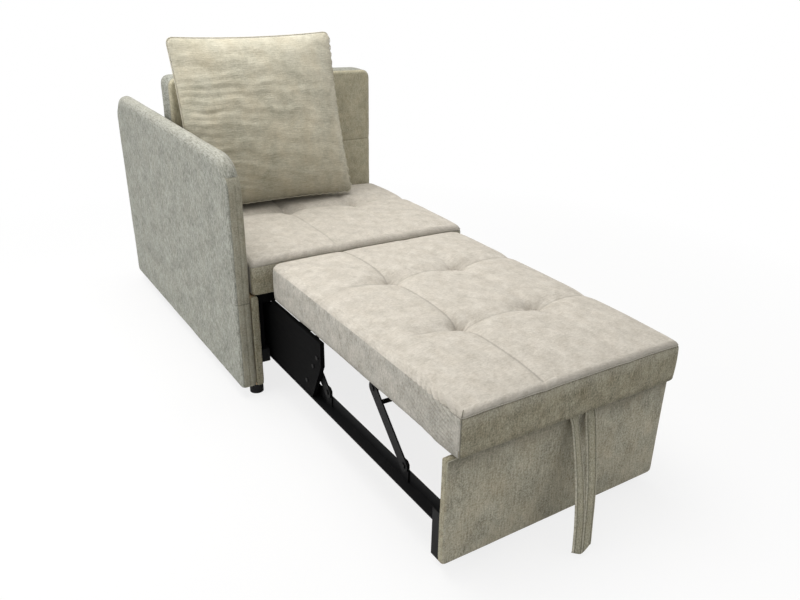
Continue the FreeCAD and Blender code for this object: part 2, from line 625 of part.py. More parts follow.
def make_seat_cushion():
    """Fixed seat cushion with two lengthwise seams and a tuft on each."""
    seams = [SEAT_MID_X + SEAT_TUFT_SHIFT + side * TUFT_SPAN / 2 for side in (-1, 1)]
    cushion = quilted_cushion(SEAT_LEFT, SEAT_RIGHT, SEAT_FRONT, SEAT_DEPTH, DECK_TOP + WEB_T + SEAT_GAP, SEAT_TOP,
                              SEAT_CROWN, seams, [SEAT_TUFT_Y], [(x, SEAT_TUFT_Y) for x in seams])
    export("seat_cushion", cushion)


def make_backrest():
    """Folding back: a padded slab on a wooden frame that turns on two pins."""
    y0, y1, z1 = BACK_FRONT, BACK_FRONT + BACK_T, BACK_TOP
    side = soft_outline(y0, y1, BACK_BOTTOM, z1, in_yz(BACK_LEFT), draw_in=BACK_BOW, low_r=BACK_FOOT_R,
                        high_r=BACK_TOP_R)
    front = soft_outline(BACK_LEFT, BACK_RIGHT, BACK_BOTTOM, z1, in_xz(y0), crown=BACK_CROWN, low_r=BACK_LOW_R,
                         high_r=BACK_CORNER_R)
    slab = side.extrude(V(BACK_RIGHT - BACK_LEFT, 0, 0)).common(front.extrude(V(0, BACK_T, 0)))
    seam = Part.makePolygon([V(BACK_LEFT - 1, y0 - 2, BACK_SEAM_Z - CHANNEL_CUT_W / 2),
                             V(BACK_LEFT - 1, y0 + CHANNEL_CUT_D, BACK_SEAM_Z),
                             V(BACK_LEFT - 1, y0 - 2, BACK_SEAM_Z + CHANNEL_CUT_W / 2),
                             V(BACK_LEFT - 1, y0 - 2, BACK_SEAM_Z - CHANNEL_CUT_W / 2)])
    seam = Part.Face(seam).extrude(V(BACK_RIGHT - BACK_LEFT + 2, 0, 0))
    fx0, fx1 = BACK_LEFT + BACK_PAD, BACK_RIGHT - BACK_PAD
    fy0, fy1 = PIVOT_Y - BACK_BAR_T / 2, PIVOT_Y + BACK_BAR_T / 2
    fz0, fz1 = BACK_BOTTOM + BACK_FRAME_LOW, BACK_TOP - BACK_FRAME_HIGH
    gap = SEAT_GAP
    pocket = box(fx0 - gap, fx1 + gap, fy0 - gap, fy1 + gap, BACK_BOTTOM - 1, fz1 + gap)
    bore = rod_x(BACK_LEFT - 1, BACK_RIGHT + 1, PIVOT_Y, PIVOT_Z, HINGE_PIN_R + RUN_FIT)
    clear = rod_x(BACK_LEFT - 1, BACK_RIGHT + 1, PIVOT_Y, PIVOT_Z, HINGE_PIN_R + SEAT_GAP)
    export("back_cushion", slab.cut([seam, pocket, clear]))
    posts = [box(fx0, fx0 + BACK_BAR_W, fy0, fy1, fz0, fz1), box(fx1 - BACK_BAR_W, fx1, fy0, fy1, fz0, fz1)]
    rail_starts = (fz0, (fz0 + fz1 - BACK_BAR_W) / 2, fz1 - BACK_BAR_W)
    rails = [box(fx0 + BACK_BAR_W, fx1 - BACK_BAR_W, fy0, fy1, z, z + BACK_BAR_W) for z in rail_starts]
    posts = [post.cut(bore) for post in posts]
    export("back_frame", Part.makeCompound(posts + rails))
    make_back_hinge("back_hinge_left", BACK_LEFT, 1)
    make_back_hinge("back_hinge_right", BACK_RIGHT, -1)


def make_back_hinge(name, slab_side, inward):
    """Steel bracket with a foot on the side board and a pin into the back's frame."""
    inner = slab_side - inward * HINGE_PLATE_GAP
    outer = inner - inward * HINGE_PLATE_T
    y0, y1 = PIVOT_Y - HINGE_PLATE_W / 2, PIVOT_Y + HINGE_PLATE_W / 2
    top = PIVOT_Z + HINGE_PLATE_W / 2
    neck = HINGE_PLATE_W / 2 - HINGE_CORNER
    outline = [V(outer, y0, DECK_TOP), V(outer, y1, DECK_TOP), V(outer, y1, top - HINGE_CORNER),
               V(outer, PIVOT_Y + neck, top), V(outer, PIVOT_Y - neck, top), V(outer, y0, top - HINGE_CORNER)]
    leg = Part.Face(Part.makePolygon(outline + outline[:1])).extrude(V(inner - outer, 0, 0))
    reach = outer + inward * HINGE_FOOT_W
    foot = box(min(outer, reach), max(outer, reach), y0, y1, DECK_TOP, DECK_TOP + HINGE_PLATE_T)
    tip = slab_side + inward * (BACK_PAD + BACK_BAR_W - HINGE_PIN_SHORT)
    pin = rod_x(min(inner, tip), max(inner, tip), PIVOT_Y, PIVOT_Z, HINGE_PIN_R)
    export(name, leg.fuse([foot, pin]).removeSplitter())


def square_tube(x0, x1, y0, y1, z0, z1, along_x):
    """Hollow square tube between two corners."""
    w = TUBE_WALL
    outer = box(x0, x1, y0, y1, z0, z1)
    if along_x:
        return outer.cut(box(x0 - 1, x1 + 1, y0 + w, y1 - w, z0 + w, z1 - w))
    return outer.cut(box(x0 + w, x1 - w, y0 - 1, y1 + 1, z0 + w, z1 - w))


def pivot_ys():
    """Depths of the lower pivots, front then rear."""
    return [LOWER_PIVOT_Y, LOWER_PIVOT_Y + LINK_SPACING]


def pin(y, z):
    """Left pivot pin: a head outside the link and a shank through link and tab."""
    head_face = LINK_X - SIDE_PLAY / 2
    head = prism(y, z, PIN_HEAD_R, HEAD_SIDES, in_yz(head_face), V(-PIN_HEAD_T, 0, 0))
    return head.fuse(rod_x(head_face, RAIL_WEB_X, y, z, PIN_R))


def tab(y, z, z_edge):
    """Left pivot tab: a plate from the frame edge at z_edge to just past the pivot, its corners cut."""
    x0, x1 = RAIL_WEB_X - TAB_T, RAIL_WEB_X
    tip = z + math.copysign(TAB_H, z - z_edge)
    shoulder = z + math.copysign(TAB_SHOULDER, z - z_edge)
    outline = [V(x0, y - TAB_H, z_edge), V(x0, y + TAB_H, z_edge), V(x0, y + TAB_H, shoulder),
               V(x0, y + TAB_SHOULDER, tip), V(x0, y - TAB_SHOULDER, tip), V(x0, y - TAB_H, shoulder)]
    plate = Part.Face(Part.makePolygon(outline + outline[:1])).extrude(V(TAB_T, 0, 0))
    return plate.cut(rod_x(x0 - 1, x1 + 1, y, z, PIN_R))


def make_carriage():
    """Sliding carriage: angle rails, cross tubes, side boards, legs, pivot tabs and rollers' axles."""
    web0, web1 = RAIL_WEB_X, RAIL_WEB_X + RAIL_T
    leg_back = PANEL_BACK + LEG_W
    z0 = RAIL_BOTTOM
    rail = box(RAIL_X, web1, leg_back, RAIL_BACK, z0, z0 + RAIL_T)
    rail = rail.fuse(box(web0, web1, PANEL_BACK + RAIL_T, RAIL_BACK, z0, z0 + RAIL_H)).removeSplitter()
    axle = rod_x(MECH_LEFT + CHANNEL_T + ROLLER_HUB_GAP - AXLE_PROUD, web1 + AXLE_TAIL, ROLLER_Y, ROLLER_Z,
                 ROLLER_AXLE_R)
    rail = rail.cut(axle)
    export("rail_left", rail)
    export("rail_right", mirrored(rail))
    export("roller_axles", both_sides(axle))
    x0, x1 = web1, 2 * MECH_CENTRE - web1
    z1 = z0 + RAIL_T
    for name, y in (("cross_tube_front", PANEL_BACK + FRONT_TUBE_BEHIND),
                    ("cross_tube_rear", RAIL_BACK - REAR_TUBE_BEFORE)):
        export(name, square_tube(x0, x1, y, y + TUBE, z1, z1 + TUBE, True))
    tabs = [tab(y, LOWER_PIVOT_Z, z1) for y in pivot_ys()]
    pins = [pin(y, LOWER_PIVOT_Z) for y in pivot_ys()]
    export("rail_tabs", both_sides(Part.makeCompound(tabs)))
    export("lower_pins", both_sides(Part.makeCompound(pins)))
    make_carriage_boards(z1)
    make_legs(z0)
    make_front_panel()


def board_bolt_places():
    """Places of the bolts on a black side board, as depth and height."""
    front, back, top = CARRIAGE_BOARD_FRONT, CARRIAGE_BOARD_BACK, CARRIAGE_BOARD_TOP
    low = top - BOARD_BOLT_LOW
    return [(front + BOARD_BOLT_NEAR, top - BOARD_BOLT_HIGH), (front + BOARD_BOLT_MIDDLE, top - BOARD_BOLT_MID),
            (front + BOARD_BOLT_FAR, low), (back - BOARD_BOLT_BACK, low)]


def make_carriage_boards(z0):
    """Black boards that stand on the rear part of the rails, bolted through their edge angles."""
    bx0 = RAIL_X + CARRIAGE_BOARD_IN
    bx1 = bx0 + CARRIAGE_BOARD_T
    front, back, top, cut = CARRIAGE_BOARD_FRONT, CARRIAGE_BOARD_BACK, CARRIAGE_BOARD_TOP, CARRIAGE_BOARD_CUT
    step, high = CARRIAGE_BOARD_STEP, top + CARRIAGE_BOARD_RISE
    points = [V(bx0, back, z0), V(bx0, back, top), V(bx0, step, top), V(bx0, step, high), V(bx0, front, high),
              V(bx0, front, z0 + 2 * cut), V(bx0, front + cut, z0), V(bx0, back, z0)]
    board = Part.Face(Part.makePolygon(points)).extrude(V(bx1 - bx0, 0, 0))
    bolts = [bolt_x(bx1, bx0, y, z, SCREW_R, SCREW_HEAD_R, SCREW_HEAD_T) for y, z in board_bolt_places()]
    board = board.cut([core_x(bx0 - 1, bx1 + 1, y, z, SCREW_R) for y, z in board_bolt_places()])
    export("carriage_board_left", board)
    export("carriage_board_right", mirrored(board))
    export("board_bolts", both_sides(Part.makeCompound(bolts)))


def make_legs(z0):
    """Upright angles that carry the front panel at both rail ends."""
    top = z0 + RAIL_H
    outer = box(RAIL_X, RAIL_X + RAIL_T, PANEL_BACK, PANEL_BACK + LEG_W, LEG_BOTTOM, top)
    inner = box(RAIL_X + RAIL_T, RAIL_X + LEG_FOOT_W, PANEL_BACK, PANEL_BACK + RAIL_T, LEG_BOTTOM + LEG_STEP, top)
    leg = outer.fuse(inner).removeSplitter()
    export("leg_left", leg)
    export("leg_right", mirrored(leg))


def make_front_panel():
    """Upholstered front panel: a board in a soft cover, with two small wheels behind it."""
    x0, x1 = MECH_CENTRE - PANEL_HALF, MECH_CENTRE + PANEL_HALF
    cover = soft_outline(x0, x1, PANEL_BOTTOM, PANEL_TOP, in_xz(PANEL_FRONT), low_r=7, high_r=7)
    cover = cover.extrude(V(0, PANEL_T, 0))
    plan = soft_outline(x0, x1, PANEL_FRONT, PANEL_BACK, in_xy(PANEL_BOTTOM), low_r=6, high_r=2)
    cover = cover.common(plan.extrude(V(0, 0, PANEL_TOP - PANEL_BOTTOM)))
    soft = PANEL_SOFT
    board = box(x0 + soft, x1 - soft, PANEL_BACK - PANEL_BOARD_T, PANEL_BACK, PANEL_BOTTOM + soft,
                PANEL_TOP - soft)
    export("panel_board", board)
    export("panel_cover", cover.cut(board))
    forks, wheels = [], []
    for side in (-1, 1):
        x = MECH_CENTRE + side * WHEEL_OFFSET
        inside = WHEEL_W / 2 + SIDE_PLAY
        axle = rod_x(x - inside, x + inside, WHEEL_Y, WHEEL_R, WHEEL_AXLE_R)
        plate = box(x - FORK_PLATE_W / 2, x + FORK_PLATE_W / 2, PANEL_BACK, PANEL_BACK + FORK_T,
                    FORK_BOTTOM, FORK_BOTTOM + FORK_PLATE_H)
        cheek = box(x + inside, x + inside + FORK_T, PANEL_BACK, WHEEL_Y + FORK_EDGE, WHEEL_R - FORK_EDGE,
                    FORK_BOTTOM + FORK_CHEEK_RISE)
        other = cheek.mirror(V(x, 0, 0), V(1, 0, 0))
        forks.append(plate.fuse([cheek, other, axle]).removeSplitter())
        wheel = rod_x(x - WHEEL_W / 2, x + WHEEL_W / 2, WHEEL_Y, WHEEL_R, WHEEL_R)
        wheels.append(wheel.cut(rod_x(x - WHEEL_W, x + WHEEL_W, WHEEL_Y, WHEEL_R, WHEEL_AXLE_R + RUN_FIT)))
    export("wheel_forks", Part.makeCompound(forks))
    export("wheel_left", wheels[0])
    export("wheel_right", wheels[1])


def make_rollers():
    """Rear rollers that run in the guide channels."""
    x0 = MECH_LEFT + CHANNEL_T + ROLLER_HUB_GAP
    roller = rod_x(x0, x0 + ROLLER_W, ROLLER_Y, ROLLER_Z, ROLLER_R)
    roller = roller.cut(rod_x(x0 - 1, x0 + ROLLER_W + 1, ROLLER_Y, ROLLER_Z, ROLLER_AXLE_R + RUN_FIT))
    export("roller_left", roller)
    export("roller_right", mirrored(roller))


def link(y, z):
    """Left flat link from the lower pivot at (y, z) to its upper pivot."""
    x0, x1 = LINK_X, LINK_X + LINK_T
    low = V(x0, y, z)
    bar = box(x0, x1, y, y + LINK_LENGTH, z - LINK_W / 2, z + LINK_W / 2)
    bar.rotate(low, V(1, 0, 0), LINK_ANGLE)
    ends = [(y, z), (y + LINK_DY, z + LINK_DZ)]
    bar = bar.fuse([rod_x(x0, x1, ey, ez, LINK_W / 2) for ey, ez in ends]).removeSplitter()
    return bar.cut([rod_x(x0 - 1, x1 + 1, ey, ez, PIN_R + RUN_FIT) for ey, ez in ends])


def make_links():
    """Two pairs of parallel links, each pair joined by a rod so that both sides lift together."""
    for name, y in zip(("front", "rear"), pivot_ys()):
        bar = link(y, LOWER_PIVOT_Z)
        export(name + "_link_left", bar)
        export(name + "_link_right", mirrored(bar))
        x0 = LINK_X + LINK_T
        rod = rod_x(x0, 2 * MECH_CENTRE - x0, y + ROD_ALONG * LINK_DY, LOWER_PIVOT_Z + ROD_ALONG * LINK_DZ, ROD_R)
        export(name + "_link_rod", rod)


def make_deck():
    """Lifting deck: tube frame with pivot tabs, a board and the pull-out cushion."""
    z0, z1 = DECK_TUBE_TOP - TUBE, DECK_TUBE_TOP
    y0, y1 = DECK_TUBE_FRONT, DECK_TUBE_BACK
    x0 = RAIL_WEB_X + DECK_TUBE_IN
    side = square_tube(x0, x0 + TUBE, y0, y1, z0, z1, False)
    cross0, cross1 = x0 + TUBE, 2 * MECH_CENTRE - x0 - TUBE
    starts = (y0, (y0 + y1 - TUBE) / 2, y1 - TUBE)
    tubes = [square_tube(cross0, cross1, y, y + TUBE, z0, z1, True) for y in starts]
    export("deck_frame", Part.makeCompound([side, mirrored(side)] + tubes))
    board_edge = RAIL_WEB_X - DECK_BOARD_OVERHANG
    export("deck_board", box(board_edge, 2 * MECH_CENTRE - board_edge, DECK_BOARD_FRONT, DECK_BOARD_BACK,
                             z1, DECK_BOARD_TOP))
    tabs = [tab(y + LINK_DY, UPPER_PIVOT_Z, z1).fuse(box(RAIL_WEB_X, x0, y + LINK_DY - TAB_H, y + LINK_DY + TAB_H,
                                                         z1 - TAB_T, z1)).removeSplitter() for y in pivot_ys()]
    pins = [pin(y + LINK_DY, UPPER_PIVOT_Z) for y in pivot_ys()]
    export("deck_tabs", both_sides(Part.makeCompound(tabs)))
    export("upper_pins", both_sides(Part.makeCompound(pins)))
    seams_x = [FOOT_MID_X - TUFT_SPAN / 2, FOOT_MID_X + TUFT_SPAN / 2]
    length = FOOT_BACK - FOOT_FRONT
    seams_y = [FOOT_FRONT + length / 3, FOOT_FRONT + 2 * length / 3]
    tufts = [(x, y) for x in seams_x for y in seams_y]
    cushion = quilted_cushion(FOOT_LEFT, FOOT_RIGHT, FOOT_FRONT, FOOT_BACK, DECK_BOARD_TOP + SEAT_GAP,
                              FOOT_TOP, FOOT_CROWN, seams_x, seams_y, tufts)
    export("pull_out_cushion", cushion)


def make_strap():
    """Doubled fabric strap that hangs askew in front of the panel, sewn in under the cushion."""
    half, top_z = STRAP_STRAND + STRAP_GAP / 2, STRAP_TOP_Z
    top = V(STRAP_X - half - STRAP_LEAN, STRAP_TOP_Y, top_z)
    end = V(top.x, STRAP_TOP_Y - STRAP_OUT + STRAP_T, top_z - STRAP_DROP)
    middle = (top + end) * 0.5 + V(0, -STRAP_BOW, 0)
    back = V(0, -STRAP_T, 0)
    edges = [arc(top, middle, end), Part.makeLine(end, end + back),
             arc(end + back, middle + back, top + back), Part.makeLine(top + back, top)]
    band = Part.Face(Part.Wire(edges)).extrude(V(2 * half + STRAP_LEAN, 0, 0))

    def cutter(corners):
        """Prism through the band over corners given as distance from its middle and distance down."""
        near = [V(STRAP_X + across - STRAP_LEAN * down / STRAP_DROP, STRAP_TOP_Y + CUT_OVER, top_z - down)
                for across, down in corners]
        return Part.Face(Part.makePolygon(near + near[:1])).extrude(V(0, -STRAP_OUT - STRAP_BOW - 2 * CUT_OVER, 0))

    low, shoulder = STRAP_DROP - STRAP_T, STRAP_DROP - STRAP_TIP
    sides = cutter([(-half, -CUT_OVER), (half, -CUT_OVER), (STRAP_STRAND, shoulder), (0, low),
                    (-STRAP_STRAND, shoulder)])
    slot = cutter([(-STRAP_GAP / 2, -CUT_OVER), (STRAP_GAP / 2, -CUT_OVER), (STRAP_MEET / 2, STRAP_SLOT),
                   (-STRAP_MEET / 2, STRAP_SLOT)])
    strap = band.common(sides).cut(slot)
    hem = rod_x(STRAP_X - half, STRAP_X + half, STRAP_TOP_Y - STRAP_T / 2, top_z, STRAP_T / 2)
    export("pull_strap", strap.fuse(hem).removeSplitter())


def pillow_outline():
    """Corners and side points of the pillow's knife edge, as width and height; its sides draw in."""
    half_w, half_h = PILLOW_W / 2, PILLOW_H / 2
    steps = [-1 + 2 * i / PILLOW_SIDE_POINTS for i in range(PILLOW_SIDE_POINTS)]
    bottom = [(half_w * u, -half_h + PILLOW_DRAW_IN * (1 - u * u)) for u in steps]
    right = [(half_w - PILLOW_DRAW_IN * (1 - u * u), half_h * u) for u in steps]
    return bottom + right + [(-a, -b) for a, b in bottom + right]


def make_pillow():
    """Square knife-edged pillow that leans on the back."""
    rings = []
    for i in range(-PILLOW_BANDS, PILLOW_BANDS + 1):
        turn = math.pi / 2 * i / (PILLOW_BANDS + 1)
        share = math.cos(turn) ** PILLOW_TAPER
        depth = PILLOW_T / 2 * math.sin(turn) / math.sin(math.pi / 2 * PILLOW_BANDS / (PILLOW_BANDS + 1))
        rings.append([V(a * share, depth, b * share) for a, b in pillow_outline()])
    pillow = flat_loft(rings)
    lean = math.radians(PILLOW_LEAN)
    pillow.rotate(V(0, 0, 0), V(1, 0, 0), -PILLOW_LEAN)
    pillow.translate(V(PILLOW_X, BACK_FRONT - 2 * SEAT_GAP - pillow.BoundBox.YMax, 0))
    foot_x, foot_y = PILLOW_X + PILLOW_W / 2, pillow.BoundBox.Center.y - PILLOW_H / 2 * math.sin(lean)
    seat = crown_height(foot_x, foot_y, SEAT_LEFT, SEAT_RIGHT, SEAT_FRONT, SEAT_DEPTH, SEAT_TOP,
                        SEAT_CROWN / 2)
    pillow.translate(V(0, 0, seat + SEAT_GAP - pillow.BoundBox.ZMin))
    export("throw_pillow", pillow)


def main():
    """Make every piece of the chair bed."""
    os.makedirs("parts", exist_ok=True)
    arm_shanks = make_arm()
    make_base_sides(arm_shanks)
    make_feet()
    make_seat_bars()
    make_guides()
    make_seat_cushion()
    make_backrest()
    make_carriage()
    make_rollers()
    make_links()
    make_deck()
    make_strap()
    make_pillow()


main()
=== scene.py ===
"""Looks of the chair bed: padded upholstery, woven finishes, timber, black steel, light and camera."""
import json
import logging
import math
from dataclasses import dataclass
from enum import Enum
from typing import Callable, Optional, Sequence

import bpy
import numpy as np
from mathutils import Matrix, Vector, noise


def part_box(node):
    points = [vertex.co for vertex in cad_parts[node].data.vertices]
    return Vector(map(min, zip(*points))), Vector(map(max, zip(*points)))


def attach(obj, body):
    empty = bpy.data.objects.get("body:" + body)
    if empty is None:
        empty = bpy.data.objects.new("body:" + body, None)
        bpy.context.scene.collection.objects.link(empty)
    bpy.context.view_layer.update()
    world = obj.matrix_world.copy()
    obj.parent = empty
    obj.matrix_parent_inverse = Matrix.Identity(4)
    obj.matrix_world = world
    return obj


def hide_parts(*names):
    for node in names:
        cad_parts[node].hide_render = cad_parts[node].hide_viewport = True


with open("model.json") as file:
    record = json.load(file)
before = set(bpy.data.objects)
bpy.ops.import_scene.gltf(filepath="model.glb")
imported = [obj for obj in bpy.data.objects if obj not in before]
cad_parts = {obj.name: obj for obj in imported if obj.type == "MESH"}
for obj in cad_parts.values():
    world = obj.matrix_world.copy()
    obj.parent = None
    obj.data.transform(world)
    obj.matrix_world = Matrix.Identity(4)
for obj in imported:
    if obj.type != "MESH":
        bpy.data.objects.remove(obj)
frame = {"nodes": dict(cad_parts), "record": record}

LOG = logging.getLogger("chair_bed")
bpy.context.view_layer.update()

MM = 0.001
PANEL_FACE = -0.952       # front of the panel on the drawing
# The drawing's origin: on the arm's outer face, the front of the base and the floor.
DRAWING = Vector((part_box("arm_cover")[0].x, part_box("panel_cover")[0].y - PANEL_FACE, 0.0))

Array = np.ndarray
Relief = Callable[[Array, Array], Array]


def bump_of(distance: Array, width: float) -> Array:
    """Return a smooth hill of height 1, a width wide to each side."""
    return np.exp(-(distance / width) ** 2)


def unit(values: Array) -> Array:
    """Hold values between 0 and 1."""
    return np.clip(values, 0, 1)


def distance_along(path: Array) -> Array:
    """Return each point's distance from the start, along the path."""
    return np.concatenate([[0.0], np.cumsum(np.linalg.norm(np.diff(path, axis=0), axis=1))])


def soft_noise(points: Array, scale: float, seed: float) -> Array:
    """Sample smooth noise at many points.

    Args:
        points: rows of x, y and z in metres.
        scale: noise cells in a metre.
        seed: shift that tells one use from another.

    Returns:
        One value from about -1 to 1 for each row.
    """
    shift = Vector((seed * 7.3, seed * -3.1, seed * 5.7))
    return np.array([noise.noise(Vector(p) * scale + shift) for p in points])


# Shading


class Signal:
    """A node's output socket that takes part in ordinary arithmetic."""

    def __init__(self, graph: "Graph", socket: bpy.types.NodeSocket) -> None:
        """Keep the graph and the socket."""
        self.graph = graph
        self.socket = socket

    def _math(self, operation: str, first: "Signal | float", second: "Signal | float") -> "Signal":
        """Add a Math node and return its result."""
        return self.graph.node("ShaderNodeMath", {"operation": operation}, {0: first, 1: second})

    def __add__(self, other: "Signal | float") -> "Signal":
        """Add."""
        return self._math("ADD", self, other)

    __radd__ = __add__

    def __sub__(self, other: "Signal | float") -> "Signal":
        """Subtract."""
        return self._math("SUBTRACT", self, other)

    def __rsub__(self, other: float) -> "Signal":
        """Subtract this from a number."""
        return self._math("SUBTRACT", other, self)

    def __mul__(self, other: "Signal | float") -> "Signal":
        """Multiply."""
        return self._math("MULTIPLY", self, other)

    __rmul__ = __mul__

    def wave(self) -> "Signal":
        """Return the sine of this."""
        return self.graph.node("ShaderNodeMath", {"operation": "SINE"}, {0: self})

    def clamp(self) -> "Signal":
        """Hold this between 0 and 1."""
        return self.graph.node("ShaderNodeClamp", {}, {0: self})


class Graph:
    """The node tree of one material or world."""

    def __init__(self, tree: bpy.types.NodeTree) -> None:
        """Start with an empty tree."""
        self.tree = tree
        tree.nodes.clear()

    def node(self, kind: str, settings: Optional[dict] = None, inputs: Optional[dict] = None,
             output: "int | str" = 0) -> Signal:
        """Add a node.

        Args:
            kind: type name of the node.
            settings: its own settings, with a ramp's stops under "stops".
            inputs: a value or signal for each socket, by name or number.
            output: the output that is wanted.

        Returns:
            That output.
        """
        node = self.tree.nodes.new(kind)
        for key, value in (settings or {}).items():
            if key == "stops":
                ramp = node.color_ramp
                while len(ramp.elements) < len(value):
                    ramp.elements.new(0.5)
                for element, (place, colour) in zip(ramp.elements, value):
                    element.position, element.color = place, (*colour, 1.0)
            else:
                setattr(node, key, value)
        for key, value in (inputs or {}).items():
            if isinstance(value, Signal):
                self.tree.links.new(value.socket, node.inputs[key])
            else:
                node.inputs[key].default_value = value
        return Signal(self, node.outputs[output]) if len(node.outputs) else Signal(self, None)

    def place(self) -> Signal:
        """Return the object's own coordinates, in metres."""
        return self.node("ShaderNodeTexCoord", {}, {}, "Object")

    def cloth(self) -> Signal:
        """Return the cloth's own coordinates, in metres."""
        return self.node("ShaderNodeUVMap", {"uv_map": "cloth"})

    def mark(self, name: str) -> Signal:
        """Return a mark that the mesh carries at its points."""
        return self.node("ShaderNodeAttribute", {"attribute_name": name}, {}, "Fac")

    def noise(self, vector: Signal, scale: float, detail: float = 3.0, roughness: float = 0.55,
              distortion: float = 0.0) -> Signal:
        """Add noise and return its value."""
        return self.node("ShaderNodeTexNoise", {}, {"Vector": vector, "Scale": scale, "Detail": detail,
                                                    "Roughness": roughness, "Distortion": distortion})

    def stretch(self, vector: Signal, by: Sequence[float]) -> Signal:
        """Scale a vector along its three axes."""
        return self.node("ShaderNodeVectorMath", {"operation": "MULTIPLY"}, {0: vector, 1: tuple(by)})

    def blend(self, first: "Signal | tuple", second: "Signal | tuple", factor: "Signal | float") -> Signal:
        """Mix two colours."""
        rgba = [c if isinstance(c, Signal) else (*c, 1.0) for c in (first, second)]
        return self.node("ShaderNodeMix", {"data_type": "RGBA"}, {0: factor, 6: rgba[0], 7: rgba[1]}, 2)

    def spread(self, value: Signal, low: float, high: float) -> Signal:
        """Stretch the part of a value between low and high to 0 and 1, and hold it there."""
        return self.node("ShaderNodeMapRange", {"clamp": True}, {0: value, 1: low, 2: high})

    def bump(self, height: Signal, distance: float, strength: float = 1.0) -> Signal:
        """Turn a height into a normal."""
        return self.node("ShaderNodeBump", {}, {"Strength": strength, "Distance": distance, "Height": height})

    def surface(self, sockets: dict) -> None:
        """Add the Principled shader with these sockets, and the material's output."""
        shader = self.node("ShaderNodeBsdfPrincipled", {}, sockets)
        self.node("ShaderNodeOutputMaterial", {}, {0: shader})


Colour = tuple[float, float, float]


def darker(colour: Colour, share: float) -> Colour:
    """Return a colour at a share of its brightness."""
    return tuple(c * share for c in colour)


def new_material(name: str, colour: Colour) -> tuple[bpy.types.Material, Graph]:
    """Make a material with an empty node tree.

    Args:
        name: name of the material.
        colour: the colour that it has without its nodes.

    Returns:
        The material and its graph.
    """
    material = bpy.data.materials.new(name)
    material.use_nodes = True
    material.diffuse_color = (*colour, 1.0)
    return material, Graph(material.node_tree)


CELLS = 1000.0            # noise cells in a metre for marks of one millimetre


@dataclass(frozen=True)
class Chenille:
    """Short-napped chenille: specks of thread, streaks along the pile and clouds where it lies flat."""

    name: str
    nap: Colour
    ground: Colour
    streak: float = 0.5       # how much the streaks show
    cloud: float = 0.4        # how much the clouds show
    weave: float = 0.3        # how much single threads show
    warm: float = 0.3         # how far some places turn warmer
    streak_size: tuple[float, float] = (3.4, 22.0)   # across and along the pile, in millimetres
    cloud_size: float = 45.0
    speck_size: tuple[float, float] = (3.6, 4.6)
    # colour of the painted highlight on rolled edges, welts and lit tops
    pale: Colour = (0.72, 0.69, 0.6)

    def material(self) -> bpy.types.Material:
        """Build the material from the cloth's own coordinates.

        Returns:
            The material with its nodes.
        """
        made, g = new_material(self.name, self.nap)
        cloth = g.cloth()
        wide, long = (CELLS / size for size in self.streak_size)
        streak = g.spread(g.noise(g.stretch(cloth, (wide, long, 1)), 1.0, 2, 0.6), 0.32, 0.68)
        cloud = g.spread(g.noise(cloth, CELLS / self.cloud_size, 4, 0.6, 0.3), 0.33, 0.67)
        patch = g.spread(g.noise(g.stretch(cloth, (1, 0.55, 1)), 3.3 * CELLS / self.cloud_size, 3, 0.65),
                         0.34, 0.66)
        high, low = (CELLS / size for size in self.speck_size)
        speck = g.spread(g.noise(g.stretch(cloth, (high, low, 1)), 1.0, 2, 0.75), 0.3, 0.7)
        fleck = g.noise(cloth, 640, 1, 0.6)
        warmth = g.spread(g.noise(g.stretch(cloth, (1, 0.7, 1)), 1.15 * CELLS / self.cloud_size, 3, 0.6),
                          0.4, 0.68)
        level = (0.5 + (streak - 0.5) * self.streak + (cloud - 0.5) * self.cloud
                 + (patch - 0.5) * (self.cloud * 0.5) + (speck - 0.5) * self.weave).clamp()
        colour = g.blend(self.ground, self.nap, level)
        warmer = tuple(c * k for c, k in zip(self.nap, (0.92, 0.8, 0.66)))
        colour = g.blend(colour, warmer, warmth * (self.warm * 0.6))
        # Painted light from the mesh's marks: painted highlight towards the pale colour, painted shade
        # towards a deep one.
        lift = g.mark("lift")
        dip = g.mark("dip")
        colour = g.blend(colour, self.pale, (lift * (0.3 + speck * 0.5)).clamp())
        deep = darker(self.ground, 0.3)
        colour = g.blend(colour, deep, (dip * 0.8).clamp())
        height = speck * 0.8 + streak * 0.5 + fleck * 0.5
        g.surface({"Base Color": colour, "Roughness": 0.84 + (1 - level) * 0.1,
                   "Normal": g.bump(height, 0.0010, 0.6), "Specular IOR Level": 0.18,
                   "Sheen Weight": 0.1, "Sheen Roughness": 0.5, "Sheen Tint": (0.9, 0.88, 0.82, 1.0)})
        return made


@dataclass(frozen=True)
class Thread:
    """Twisted sewing thread."""

    name: str
    colour: Colour

    def material(self) -> bpy.types.Material:
        """Build the material.

        Returns:
            The material with its nodes.
        """
        made, g = new_material(self.name, self.colour)
        place = g.place()
        twist = g.noise(place, 900, 2)
        shade = darker(self.colour, 0.6)
        g.surface({"Base Color": g.blend(shade, self.colour, twist), "Roughness": 0.6 + twist * 0.2,
                   "Normal": g.bump(twist, 0.0003, 0.4)})
        return made


class Grain(Enum):
    """Axis along which timber grain runs."""

    X = 0
    Y = 1
    Z = 2


